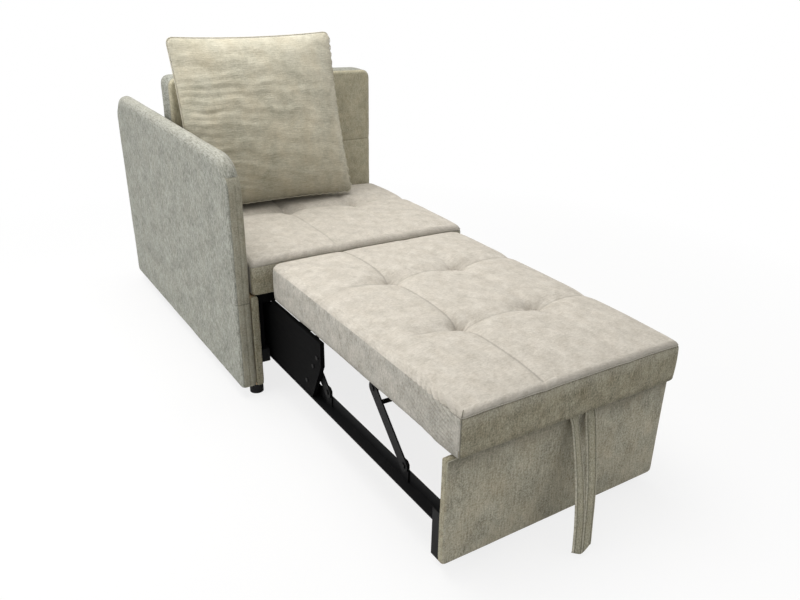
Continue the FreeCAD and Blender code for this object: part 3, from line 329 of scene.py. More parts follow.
@dataclass(frozen=True)
class Timber:
    """Sawn timber or plywood with grain, pores and a few darker bands."""

    name: str
    light: Colour
    dark: Colour
    grain: Grain

    def material(self) -> bpy.types.Material:
        """Build the material.

        Returns:
            The material with its nodes.
        """
        made, g = new_material(self.name, self.light)
        place = g.place()
        squeeze = [1.0, 1.0, 1.0]
        squeeze[self.grain.value] = 0.06
        along = g.stretch(place, squeeze)
        bands = g.spread(g.noise(along, 34, 3, 0.6, 0.8), 0.35, 0.68)
        pores = g.spread(g.noise(along, 520, 2, 0.6), 0.42, 0.75)
        age = g.noise(place, 5, 3)
        colour = g.blend(g.blend(self.light, self.dark, bands * 0.6 + pores * 0.25),
                         darker(self.dark, 0.7), (age - 0.5) * 0.5)
        g.surface({"Base Color": colour, "Roughness": 0.62 + pores * 0.2,
                   "Normal": g.bump(1 - pores, 0.0004, 0.5)})
        return made


@dataclass(frozen=True)
class BlackBoard:
    """Plywood under thin black paint, with the grain just showing."""

    name: str = "black_painted_board"

    def material(self) -> bpy.types.Material:
        """Build the material.

        Returns:
            The material with its nodes.
        """
        made, g = new_material(self.name, (0.008, 0.008, 0.009))
        place = g.place()
        grain = g.noise(g.stretch(place, (1.0, 0.08, 1.0)), 260, 3, 0.6)
        scuff = g.spread(g.noise(place, 38, 4, 0.7, 0.6), 0.6, 0.8)
        g.surface({"Base Color": g.blend((0.002, 0.002, 0.0022), (0.009, 0.0085, 0.008), scuff * 0.5),
                   "Roughness": 0.58 + grain * 0.25, "Normal": g.bump(grain, 0.0003, 0.4),
                   "Specular IOR Level": 0.05})
        return made


@dataclass(frozen=True)
class Metal:
    """Steel, either powder coated or zinc plated."""

    name: str
    colour: Colour
    rub: Colour
    metallic: float
    rough: float
    peel: float               # bump of the coating's skin, in metres
    shine: float = 0.5        # specular level

    def material(self) -> bpy.types.Material:
        """Build the material.

        Returns:
            The material with its nodes.
        """
        made, g = new_material(self.name, self.colour)
        place = g.place()
        skin = g.noise(place, 700, 2, 0.5)
        rubbed = g.spread(g.noise(place, 26, 5, 0.72, 0.7), 0.58, 0.8)
        g.surface({"Base Color": g.blend(self.colour, self.rub, rubbed * 0.6),
                   "Metallic": self.metallic, "Roughness": self.rough + (skin - 0.5) * 0.16 + rubbed * 0.1,
                   "Normal": g.bump(skin, self.peel, 0.6), "Specular IOR Level": self.shine})
        return made


@dataclass(frozen=True)
class BlackPlastic:
    """Moulded black plastic with a fine spark grain."""

    name: str = "moulded_black_plastic"

    def material(self) -> bpy.types.Material:
        """Build the material.

        Returns:
            The material with its nodes.
        """
        made, g = new_material(self.name, (0.012, 0.012, 0.013))
        place = g.place()
        spark = g.noise(place, 1500, 2, 0.6)
        worn = g.spread(g.noise(place, 60, 4, 0.7), 0.6, 0.85)
        g.surface({"Base Color": g.blend((0.009, 0.009, 0.01), (0.05, 0.05, 0.052), worn * 0.4),
                   "Roughness": 0.42 + spark * 0.2, "Normal": g.bump(spark, 0.0002, 0.5),
                   "Specular IOR Level": 0.25})
        return made


@dataclass(frozen=True)
class Webbing:
    """Black elastic webbing with grey lengthwise stripes."""

    name: str = "elastic_webbing"
    stripe: float = 0.0125    # pitch of the stripes, in metres
    rib: float = 0.0032       # pitch of the cross ribs
    cord: float = 0.0021      # pitch of the elastic cords

    def material(self) -> bpy.types.Material:
        """Build the material.

        Returns:
            The material with its nodes.
        """
        made, g = new_material(self.name, (0.05, 0.05, 0.055))
        cloth = g.cloth()
        parts = g.node("ShaderNodeSeparateXYZ", {}, {0: cloth})
        across, along = Signal(g, parts.socket.node.outputs[1]), Signal(g, parts.socket.node.outputs[0])
        stripe = g.spread((across * (2 * math.pi / self.stripe)).wave(), 0.6, 0.8)
        rib = (along * (2 * math.pi / self.rib)).wave() * 0.5 + 0.5
        cord = (across * (2 * math.pi / self.cord)).wave() * 0.5 + 0.5
        g.surface({"Base Color": g.blend((0.02, 0.02, 0.022), (0.22, 0.22, 0.23), stripe * (0.6 + rib * 0.4)),
                   "Roughness": 0.7 + rib * 0.15, "Normal": g.bump(rib * 0.6 + cord * 0.4, 0.0006, 0.7)})
        return made


class Cloth(Enum):
    """The upholstery cloth on each part of the chair, its streaks laid as the nap lies there, in lit and
    shaded copies: brighter on tops and darker on front faces, as painted light and shade.
    """

    ARM = Chenille("chenille_arm", (0.43, 0.436, 0.388), (0.147, 0.152, 0.126),
                   streak=0.75, cloud=0.3, weave=0.55, warm=0.15,
                   streak_size=(4.2, 22.0), speck_size=(4.4, 7.0), cloud_size=75.0)
    ARM_BAND = Chenille("chenille_arm_band", (0.43, 0.415, 0.335), (0.19, 0.183, 0.135),
                        streak=0.4, cloud=0.3, weave=0.5, speck_size=(4.6, 4.6))
    # A lit copy of the cloth: brighter for the light that falls on tops, as painted light.
    TOP = Chenille("chenille_top", (0.665, 0.624, 0.555), (0.435, 0.402, 0.345),
                   streak=0.35, cloud=0.5, weave=0.4, warm=0.12,
                   streak_size=(16.0, 5.0), cloud_size=46.0, speck_size=(6.0, 4.6))
    SIDE = Chenille("chenille_side", (0.56, 0.535, 0.48), (0.25, 0.238, 0.205),
                    streak=0.4, weave=0.55, warm=0.15, speck_size=(4.6, 5.5))
    # A shaded copy of the cloth: darker for the shade on front faces, as painted shade.
    FRONT = Chenille("chenille_front", (0.46, 0.43, 0.32), (0.13, 0.12, 0.08),
                     streak=0.4, cloud=0.4, weave=0.75, warm=0.3, speck_size=(4.3, 4.8))
    PANEL = Chenille("chenille_panel", (0.61, 0.58, 0.465), (0.195, 0.186, 0.138),
                     streak=0.4, cloud=0.32, weave=0.75, warm=0.45,
                     streak_size=(5.0, 30.0), speck_size=(4.4, 5.2), cloud_size=90.0)
    BACK = Chenille("chenille_back", (0.59, 0.555, 0.415), (0.29, 0.268, 0.19),
                    streak=0.3, cloud=0.4, weave=0.6, speck_size=(4.6, 4.6))
    PILLOW = Chenille("chenille_pillow", (0.705, 0.672, 0.545), (0.375, 0.357, 0.27),
                      streak=0.45, cloud=0.45, weave=0.4, warm=0.45,
                      streak_size=(26.0, 4.4), cloud_size=95.0, speck_size=(6.0, 4.4))
    STRAP = Chenille("chenille_strap", (0.62, 0.59, 0.46), (0.19, 0.18, 0.125),
                     streak=0.3, cloud=0.2, weave=0.7, speck_size=(4.0, 4.6))


class Palette:
    """Makes each finish once and hands it out."""

    def __init__(self) -> None:
        """Start with no materials."""
        self.made: dict[str, bpy.types.Material] = {}

    def of(self, finish: object) -> bpy.types.Material:
        """Make a finish on its first use, and find it again later.

        Args:
            finish: a finish, or one of Cloth.

        Returns:
            Its material.
        """
        finish = finish.value if isinstance(finish, Cloth) else finish
        if finish.name not in self.made:
            self.made[finish.name] = finish.material()
        return self.made[finish.name]


PALETTE = Palette()


# Meshes


def mesh_piece(name: str, points: Array, faces: list, cloth: Optional[list] = None,
               finishes: Sequence[object] = (), indices: Optional[Sequence[int]] = None,
               marks: Optional[dict[str, Array]] = None) -> bpy.types.Object:
    """Make an object from points and faces.

    Args:
        name: name of the piece.
        points: rows of x, y and z in metres.
        faces: the corners of each face.
        cloth: cloth coordinates of each corner of each face.
        finishes: finishes for the material slots.
        indices: material slot of each face.
        marks: values at the points that the finish reads.

    Returns:
        The new object, linked to the scene.
    """
    mesh = bpy.data.meshes.new(name)
    mesh.from_pydata([tuple(p) for p in points], [], faces)
    if cloth is not None:
        layer = mesh.uv_layers.new(name="cloth")
        layer.data.foreach_set("uv", np.array(cloth, dtype=np.float32).reshape(-1))
    for key, values in (marks or {}).items():
        mesh.attributes.new(key, "FLOAT", "POINT").data.foreach_set("value", values.astype(np.float32))
    for finish in finishes:
        mesh.materials.append(PALETTE.of(finish))
    if indices is not None:
        mesh.polygons.foreach_set("material_index", np.array(indices, dtype=np.int32))
    mesh.polygons.foreach_set("use_smooth", np.ones(len(faces), dtype=bool))
    mesh.update()
    piece = bpy.data.objects.new(name, mesh)
    bpy.context.scene.collection.objects.link(piece)
    return piece


def point_normals(points: Array, faces: Array) -> Array:
    """Work out the normals at the points of a mesh of four-sided faces.

    Args:
        points: rows of points.
        faces: rows of four corners.

    Returns:
        One row of length 1 for each point.
    """
    a, b, c, d = (points[faces[:, i]] for i in range(4))
    face_normals = np.cross(c - a, d - b)
    normals = np.zeros_like(points)
    for i in range(4):
        np.add.at(normals, faces[:, i], face_normals)
    return normals / np.maximum(np.linalg.norm(normals, axis=1, keepdims=True), 1e-12)


SKEW_UP = (0.13, 0.21, 0.97)   # an upward direction that no path here follows


def tube_mesh(path: Array, radius: float, sides: int, closed: bool) -> tuple[Array, list]:
    """Sweep a round section along a path.

    Args:
        path: rows of points.
        radius: of the section.
        sides: corners of the section.
        closed: whether the path joins its start.

    Returns:
        Points and faces.
    """
    count = len(path)
    ahead = np.roll(path, -1, axis=0) - np.roll(path, 1, axis=0)
    if not closed:
        ahead[0], ahead[-1] = path[1] - path[0], path[-1] - path[-2]
    ahead /= np.linalg.norm(ahead, axis=1, keepdims=True)
    up = np.tile(SKEW_UP, (count, 1))
    side = np.cross(ahead, up)
    side /= np.linalg.norm(side, axis=1, keepdims=True)
    over = np.cross(side, ahead)
    turns = np.arange(sides) * 2 * math.pi / sides
    ring = np.cos(turns)[None, :, None] * side[:, None, :] + np.sin(turns)[None, :, None] * over[:, None, :]
    points = (path[:, None, :] + radius * ring).reshape(-1, 3)
    steps = range(count if closed else count - 1)
    faces = [(i * sides + j, i * sides + (j + 1) % sides, (i + 1) % count * sides + (j + 1) % sides,
              (i + 1) % count * sides + j) for i in steps for j in range(sides)]
    if not closed:
        faces += [tuple(range(sides))[::-1], tuple((count - 1) * sides + j for j in range(sides))]
    return points, faces


def walk(path: Array, spacing: float, closed: bool) -> Array:
    """Set points an equal distance apart along a path.

    Args:
        path: rows of points.
        spacing: about how far apart.
        closed: whether the path joins its start.

    Returns:
        Rows of points.
    """
    whole = np.vstack([path, path[:1]]) if closed else path
    lengths = distance_along(whole)
    count = max(int(lengths[-1] / spacing), 2)
    stations = np.linspace(0, lengths[-1], count + (0 if closed else 1), endpoint=not closed)
    return np.stack([np.interp(stations, lengths, whole[:, k]) for k in range(3)], axis=1)


def rim_of(index: Array) -> Array:
    """Return the numbers round the edge of a grid of point numbers."""
    return np.concatenate([index[:-1, 0], index[-1, :-1], index[:0:-1, -1], index[0, :0:-1]])


LEAST_RADIUS = 0.0006     # of an outline's corner


@dataclass(frozen=True)
class Outline:
    """A rectangle with rounded corners, on the two axes in which a pad is drawn."""

    a0: float
    a1: float
    b0: float
    b1: float
    corners: tuple[float, float, float, float]   # radii at low-low, high-low, high-high and low-high

    def lay(self, a: Array, b: Array, inset: "float | Array") -> tuple[Array, Array]:
        """Move points of the plain rectangle to the rounded one.

        Args:
            a: places on the first axis.
            b: places on the second axis.
            inset: how far the rounded one is drawn in.

        Returns:
            The new places on both axes.
        """
        w, h = self.a1 - self.a0, self.b1 - self.b0
        pa = self.a0 + inset + (a - self.a0) * (w - 2 * inset) / w
        pb = self.b0 + inset + (b - self.b0) * (h - 2 * inset) / h
        ends = [(self.a0, 1, self.b0, 1), (self.a1, -1, self.b0, 1),
                (self.a1, -1, self.b1, -1), (self.a0, 1, self.b1, -1)]
        for (ca, sa, cb, sb), radius in zip(ends, self.corners):
            left = np.maximum(radius - inset, LEAST_RADIUS)
            ka, kb = ca + sa * (inset + left), cb + sb * (inset + left)
            da, db = (ka - pa) * sa, (kb - pb) * sb
            hit = (da > 0) & (db > 0)
            scale = np.where(hit, np.maximum(da, db) / np.maximum(np.hypot(da, db), 1e-9), 1.0)
            pa, pb = np.where(hit, ka - sa * da * scale, pa), np.where(hit, kb - sb * db * scale, pb)
        return pa, pb


LINE_OFFSETS = (-0.005, -0.0028, -0.0012, 0.0, 0.0012, 0.0028, 0.005)   # of points across a sewn line
LINE_CLEAR = 0.0055       # room on each side of a sewn line that no other point enters
SEAM_OFFSETS = (-0.004, -0.0022, -0.001, 0.0, 0.001, 0.0022, 0.004)     # of rings across a side seam
SEAM_CLEAR = 0.0045       # the same room for a side seam
LEAST_STEP = 0.0009       # between neighbouring points
GROOVE = 0.0022           # half width of a side seam's groove
UNDER_SHIFT = 3.0         # between the cloth coordinates of the shown face and the hidden one
SHOWS = 0.35              # share from which a seam counts as shown


@dataclass
class Pad:
    """A stuffed or wrapped piece: two faces inside an outline, joined by a side band with sewn seams."""

    name: str
    outline: Outline
    depth: float              # from the hidden face to the shown one
    origin: Vector            # of the third axis
    axes: tuple[Vector, Vector, Vector]
    step: float = 0.009
    low_r: float = 0.006
    high_r: float = 0.012
    bow: float = 0.0
    relief: Optional[Relief] = None
    # painted shade on the shown face, from 0 to 1 at each place
    painted_shades: Optional[Relief] = None
    lines_a: Sequence[float] = ()
    lines_b: Sequence[float] = ()
    fine_b: Optional[tuple[float, float, float]] = None
    seams: Sequence[float] = ()     # places of sewn seams along the side, down from the shown face
    seam_depth: float = 0.0014
    # strength of the painted shade in a seam's line
    seam_dark: float = 0.5
    ring_step: float = 0.0          # spacing along the side, or 0 for three quarters of step
    round_r: float = 0.0            # radius of the edges where rounder says 1
    rounder: Optional[Relief] = None
    seam_on: Optional[Relief] = None    # how much of a seam shows at each place of the outline
    shade: float = 0.0              # painted contact shade on the lowest two centimetres of the side
    painted_light_over_roll: float = 0.0               # painted light over the rolled edge where a seam joins two finishes: painted shade on the shown face's finish, painted highlight just under the seam
    swell: float = 0.0              # unevenness of the stuffing
    along_perimeter: bool = False   # whether the nap of the side band runs along it
    finishes: tuple[object, object] = (Cloth.TOP, Cloth.SIDE)
    side_finish: Optional[Callable[[Array], Array]] = None
    more_finishes: tuple[object, ...] = ()
    top_down: float = 0.0           # how far the shown face's finish reaches down the side

    def stations(self, low: float, high: float, lines: Sequence[float], fine: Optional[tuple]) -> Array:
        """Place the grid lines of one axis, close together at sewn lines and in the fine part.

        Args:
            low: first limit.
            high: last limit.
            lines: places of sewn lines.
            fine: start, end and spacing of the fine part, if any.

        Returns:
            The places in order.
        """
        count = max(int(round((high - low) / self.step)), 4)
        values = list(np.linspace(low, high, count + 1))
        if fine:
            values += list(np.arange(fine[0], fine[1], fine[2]))
        values = [v for v in values if all(abs(v - line) > LINE_CLEAR for line in lines)]
        for line in lines:
            values += [line + d for d in LINE_OFFSETS]
        values = sorted(v for v in values if low <= v <= high)
        kept = [values[0]]
        for v in values[1:]:
            if v - kept[-1] > LEAST_STEP:
                kept.append(v)
        kept[0], kept[-1] = low, high
        return np.array(kept)

    def contour(self, low_r: float, high_r: float) -> tuple[Array, Array]:
        """Draw the side from the hidden face up.

        Args:
            low_r: radius of the hidden face's edge.
            high_r: radius of the shown face's edge.

        Returns:
            Distance along the side, and rows of inset and height there.
        """
        quarter = np.linspace(0, math.pi / 2, 24)
        low = [(low_r * (1 - math.sin(t)), low_r * (1 - math.cos(t))) for t in quarter]
        high = [(high_r * (1 - math.cos(t)), self.depth - high_r * (1 - math.sin(t))) for t in quarter]
        straight = [(0.0, z) for z in np.linspace(low_r, self.depth - high_r, 40)[1:-1]]
        line = np.array(low + straight + high)
        line[:, 0] += self.bow * (1 - np.sin(unit(line[:, 1] / self.depth) * math.pi))
        return distance_along(line), line

    def profile(self) -> tuple[Array, Array, Array]:
        """Return inset and height of each ring, plain and rounder, with its seam groove, and its place.

        Returns:
            Two rows of inset and height, one row of groove in and up, and the distance from the shown face.
        """
        run, line = self.contour(self.low_r, self.high_r)
        total = run[-1]
        gap = self.ring_step or self.step * 0.75
        spots = list(np.linspace(0, total, max(int(total / gap), 6) + 1))
        spots += list(np.linspace(total - self.high_r * 1.5, total, 7))
        spots += list(np.linspace(0, self.low_r * 1.5, 5))
        places = [total - s for s in self.seams]
        spots = [s for s in spots if all(abs(s - p) > SEAM_CLEAR for p in places)]
        for p in places:
            spots += [p + d for d in SEAM_OFFSETS]
        spots = np.unique(np.clip(spots, 0, total))
        spots = spots[np.concatenate([[True], np.diff(spots) > min(0.0006, total / 12)])]
        spots[-1] = total
        plain = np.stack([np.interp(spots, run, line[:, 0]), np.interp(spots, run, line[:, 1])])
        run2, line2 = self.contour(self.round_r, self.round_r) if self.rounder else (run, line)
        part = spots / total * run2[-1]
        rounder = np.stack([np.interp(part, run2, line2[:, 0]), np.interp(part, run2, line2[:, 1])])
        groove = np.zeros_like(plain)
        for p in places:
            dent = self.seam_depth * bump_of(spots - p, GROOVE)
            dent[0] = dent[-1] = 0.0
            groove += dent * np.stack([np.gradient(plain[1], spots), -np.gradient(plain[0], spots)])
        return np.concatenate([plain, rounder]), groove, total - spots

    def build(self) -> bpy.types.Object:
        """Build the mesh.

        Returns:
            The piece, with cloth coordinates and marks of painted shade and painted highlight for its finish.
        """
        o = self.outline
        ga = self.stations(o.a0, o.a1, self.lines_a, None)
        gb = self.stations(o.b0, o.b1, self.lines_b, self.fine_b)
        na, nb = len(ga), len(gb)
        grid_a, grid_b = np.meshgrid(ga, gb, indexing="ij")
        index = np.arange(na * nb).reshape(na, nb)
        rim = rim_of(index)
        flat_a, flat_b = grid_a.reshape(-1), grid_b.reshape(-1)
        sides, groove, below = self.profile()
        blend = self.rounder(flat_a, flat_b) if self.rounder else np.zeros_like(flat_a)
        sewn = self.seam_on(flat_a, flat_b) if self.seam_on else np.ones_like(flat_a)

        def laid(ring: int, which: Array) -> tuple[Array, Array, Array]:
            """Lay points of the grid inside one ring.

            Args:
                ring: its number.
                which: numbers of the points.

            Returns:
                Their places on both axes and their heights.
            """
            share, seam = blend[which], sewn[which]
            inset = (1 - share) * (sides[0, ring] + seam * groove[0, ring]) + share * sides[2, ring]
            height = (1 - share) * (sides[1, ring] + seam * groove[1, ring]) + share * sides[3, ring]
            return (*o.lay(flat_a[which], flat_b[which], inset), height)

        everywhere = np.arange(na * nb)
        ta, tb, tz = laid(-1, everywhere)
        if self.relief:
            tz = tz + self.relief(ta, tb)
        points = [np.stack([ta, tb, tz], 1), np.stack(laid(0, everywhere), 1)]
        half = na * nb
        rings = [half + rim]
        start = 2 * half
        rim_drop = tz[rim] - self.depth
        for k in range(1, len(below) - 1):
            ra, rb, rz = laid(k, rim)
            share = unit((rz - self.depth * 0.4) / (self.depth * 0.6))
            points.append(np.stack([ra, rb, rz + rim_drop * share], 1))
            rings.append(np.arange(start, start + len(rim)))
            start += len(rim)
        rings.append(rim)
        points = np.vstack(points)

        faces, cloth, slots = [], [], []
        for i in range(na - 1):
            for j in range(nb - 1):
                corners = (index[i, j], index[i + 1, j], index[i + 1, j + 1], index[i, j + 1])
                faces.append(corners)
                cloth.extend((flat_a[c], flat_b[c]) for c in corners)
                slots.append(0)
                under = tuple(half + c for c in corners[::-1])
                faces.append(under)
                cloth.extend((flat_a[c - half], flat_b[c - half] + UNDER_SHIFT) for c in under)
                slots.append(0)
        edge = points[rings[len(rings) // 2]]
        lengths = np.linalg.norm(np.roll(edge, -1, axis=0) - edge, axis=1)
        around = np.concatenate([[0.0], np.cumsum(lengths)])
        count = len(rim)
        for k in range(len(rings) - 1):
            lower, upper = rings[k], rings[k + 1]
            for i in range(count):
                j = (i + 1) % count
                faces.append((lower[i], lower[j], upper[j], upper[i]))
                spots = [(around[i], -below[k]), (around[i + 1], -below[k]),
                         (around[i + 1], -below[k + 1]), (around[i], -below[k + 1])]
                cloth.extend([(s[1], s[0]) if self.along_perimeter else s for s in spots])
                slots.append(1 if 0.5 * (below[k] + below[k + 1]) > self.top_down else 0)
        quads = np.array(faces)
        normals = point_normals(points, quads)
        if self.swell:
            far = points.copy()
            lumps = soft_noise(far, 9.0, len(self.name)) * 0.7 + soft_noise(far, 26.0, 3.0) * 0.3
            points = points + normals * (lumps * self.swell)[:, None]
        # Painted light at the points: painted contact shade low on the side, painted shade and highlight over
        # the rolled edge, painted shade in each seam's line with painted highlights beside it, and the shown
        # face's own painted shade.
        painted_shade_values = np.zeros(len(points))
        lift = np.zeros(len(points))
        shown = sewn[rim] * (1 - blend[rim])
        for k, ring in enumerate(rings):
            painted_shade_values[ring] = self.shade * unit(1 - points[ring, 2] / 0.02)
            if self.painted_light_over_roll and below[k] <= self.top_down:
                painted_shade_values[ring] = np.maximum(painted_shade_values[ring], self.painted_light_over_roll * shown * below[k] / self.top_down)
            elif self.painted_light_over_roll:
                lift[ring] = self.painted_light_over_roll * 0.8 * shown * unit(1 - (below[k] - self.top_down) / 0.03)
            for s in self.seams:
                mark = shown * self.seam_dark * bump_of(below[k] - s, 0.0012)
                painted_shade_values[ring] = np.maximum(painted_shade_values[ring], mark)
                lift[ring] = np.maximum(lift[ring], 0.12 * shown * bump_of(abs(below[k] - s) - 0.005, 0.003))
        if self.painted_shades:
            painted_shade_values[:half] = np.maximum(painted_shade_values[:half], self.painted_shades(ta, tb))
        if self.side_finish is not None:
            middles = points[quads].mean(axis=1)
            slots = list(np.where(np.array(slots) == 1, self.side_finish(middles), slots))
        a_axis, b_axis, c_axis = (np.array(v) for v in self.axes)
        world = (np.array(self.origin) + points[:, :1] * a_axis + points[:, 1:2] * b_axis
                 + points[:, 2:] * c_axis)
        turned = np.dot(np.cross(a_axis, b_axis), c_axis) < 0
        if turned:
            faces = [f[::-1] for f in faces]
            cloth = [uv for i in range(len(faces)) for uv in cloth[4 * i:4 * i + 4][::-1]]
        self.rings, self.below, self.shown = rings, below, shown
        self.piece = mesh_piece(self.name, world, [tuple(int(c) for c in f) for f in faces], cloth,
                                (*self.finishes, *self.more_finishes), slots, {"dip": painted_shade_values, "lift": lift})
        return self.piece

    def seam_path(self, distance: float) -> Array:
        """Find where a seam shows on the side, after all moves.

        Args:
            distance: of the seam from the shown face, down the side.

        Returns:
            Rows of points along it.
        """
        ring = np.array(self.rings[int(np.argmin(np.abs(self.below - distance)))])
        visible = self.shown >= SHOWS
        if not visible.all():
            start = int(np.nonzero(visible & ~np.roll(visible, 1))[0][0])
            ring = np.roll(ring, -start)[:int(visible.sum())]
        return points_of(self.piece)[ring]

    def corner_path(self, a: float, b: float, start: float) -> Array:
        """Find the line down the side at a corner of the outline, after all moves.

        Args:
            a: the corner's place on the first axis.
            b: the corner's place on the second axis.
            start: how far down from the shown face the line starts.

        Returns:
            Rows of points, from the top down.
        """
        world = points_of(self.piece)
        goal = np.array(self.origin) + a * np.array(self.axes[0]) + b * np.array(self.axes[1])
        away = (world[self.rings[len(self.rings) // 2]] - goal) @ np.array([self.axes[0], self.axes[1]]).T
        column = int(np.argmin(np.linalg.norm(away, axis=1)))
        rows = [k for k in range(len(self.rings) - 1, 0, -1) if self.below[k] >= start]
        return world[[self.rings[k][column] for k in rows]]


STITCH_PITCH = 0.0075
STITCH_LIFT = 0.0004      # how far the thread stands out
STITCH_SIDES = 5
# Points of one stitch: share of its pitch, and rise in radii of the thread.
STITCH = ((0.0, -1.2), (0.14, 0.3), (0.43, 0.8), (0.72, 0.3), (0.86, -1.2))
STITCH_COLOUR = (0.6, 0.57, 0.48)


def stitches(name: str, path: Array, body: str, centre: Array, radius: float = 0.00055) -> None:
    """Sew a row of stitches along an open path.

    Args:
        name: name of the piece.
        path: points of the seam.
        body: the body that it rides on.
        centre: the middle of the sewn piece, from which the thread stands out.
        radius: of the thread.
    """
    line = walk(path, STITCH_PITCH, False)
    out = line - centre
    out /= np.linalg.norm(out, axis=1, keepdims=True)
    line = line + out * STITCH_LIFT
    points, faces = [], []
    for i, (p, q) in enumerate(zip(line, line[1:])):
        run = np.array([p + (q - p) * t + out[i] * rise * radius for t, rise in STITCH])
        more, quads = tube_mesh(run, radius, STITCH_SIDES, False)
        faces += [tuple(c + len(more) * i for c in f) for f in quads]
        points.append(more)
    thread = Thread("thread_" + name, STITCH_COLOUR)
    sewn_on(mesh_piece(name, np.vstack(points), faces, None, (thread,)), body)


def puff(piece: bpy.types.Object, held: Array, pressure: float, frames: int, cap: float,
         slack: float, stiffness: float, bending: float) -> None:
    """Blow a piece up as cloth and keep the result.

    Args:
        piece: mesh object without modifiers.
        held: how firmly each point is held, from 0 to 1.
        pressure: inside the piece.
        frames: how long it is blown up.
        cap: how far a point may move, in metres.
        slack: how much wider than its shape the cloth was cut.
        stiffness: against stretching.
        bending: against folding.
    """
    group = piece.vertex_groups.new(name="held")
    for level in np.unique(np.round(held, 2)):
        if level > 0:
            group.add([int(i) for i in np.nonzero(np.round(held, 2) == level)[0]], float(level), "REPLACE")
    before = points_of(piece)
    modifier = piece.modifiers.new("blown", "CLOTH")
    cloth = modifier.settings
    cloth.quality = 6
    cloth.mass = 0.3
    cloth.tension_stiffness = cloth.compression_stiffness = stiffness
    cloth.shear_stiffness = stiffness * 0.4
    cloth.bending_stiffness = bending
    cloth.use_pressure = True
    cloth.uniform_pressure_force = pressure
    cloth.shrink_min = -slack
    cloth.vertex_group_mass = "held"
    cloth.effector_weights.gravity = 0.0
    modifier.collision_settings.use_collision = False
    modifier.point_cache.frame_start, modifier.point_cache.frame_end = 1, frames
    scene = bpy.context.scene
    for step in range(1, frames + 1):
        scene.frame_set(step)
    move = points_of(piece.evaluated_get(bpy.context.evaluated_depsgraph_get())) - before
    piece.modifiers.clear()
    piece.vertex_groups.clear()
    scene.frame_set(1)
    far = np.linalg.norm(move, axis=1, keepdims=True)
    move *= np.where(far > cap, cap / np.maximum(far, 1e-9), 1.0)
    put_points(piece, before + move)


def points_of(piece: bpy.types.Object) -> Array:
    """Read the points of a piece.

    Args:
        piece: the piece, before its modifiers.

    Returns:
        Rows of x, y and z.
    """
    found = np.empty(len(piece.data.vertices) * 3)
    piece.data.vertices.foreach_get("co", found)
    return found.reshape(-1, 3)


def put_points(piece: bpy.types.Object, points: Array) -> None:
    """Move the points of a piece to new places."""
    piece.data.vertices.foreach_set("co", points.reshape(-1))
    piece.data.update()


def marked(piece: bpy.types.Object, name: str, extra: Array) -> None:
    """Raise one of the marks that a finish reads, where an extra amount is greater.

    Args:
        piece: the piece that carries it.
        name: name of the mark.
        extra: an amount for each point.
    """
    values = np.empty(len(extra))
    data = piece.data.attributes[name].data
    data.foreach_get("value", values)
    data.foreach_set("value", np.maximum(values, extra))


def middle_of(node: str) -> Array:
    """Return the middle of a node's box."""
    low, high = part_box(node)
    return np.array((low + high) / 2)


def smoothed(piece: bpy.types.Object) -> None:
    """Add a subdivision surface of one level."""
    modifier = piece.modifiers.new("smooth", "SUBSURF")
    modifier.levels = modifier.render_levels = 1


def sewn_on(piece: bpy.types.Object, body: str) -> None:
    """Let an upholstery piece ride on its body."""
    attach(piece, body)


def drawn(x: float, y: float, z: float) -> Vector:
    """Turn a place on the drawing, in millimetres, into metres in the scene."""
    return Vector((x, y, z)) * MM + DRAWING


X, Y, Z = Vector((1, 0, 0)), Vector((0, 1, 0)), Vector((0, 0, 1))


FOLD_TURNS = (0.35, 1.15, 2.0, 2.75, 3.7, 4.5, 5.35, 5.95)   # directions of the folds at a tuft, in radians
LINE_DARK = 0.0013        # half width of a sewn line's painted shade
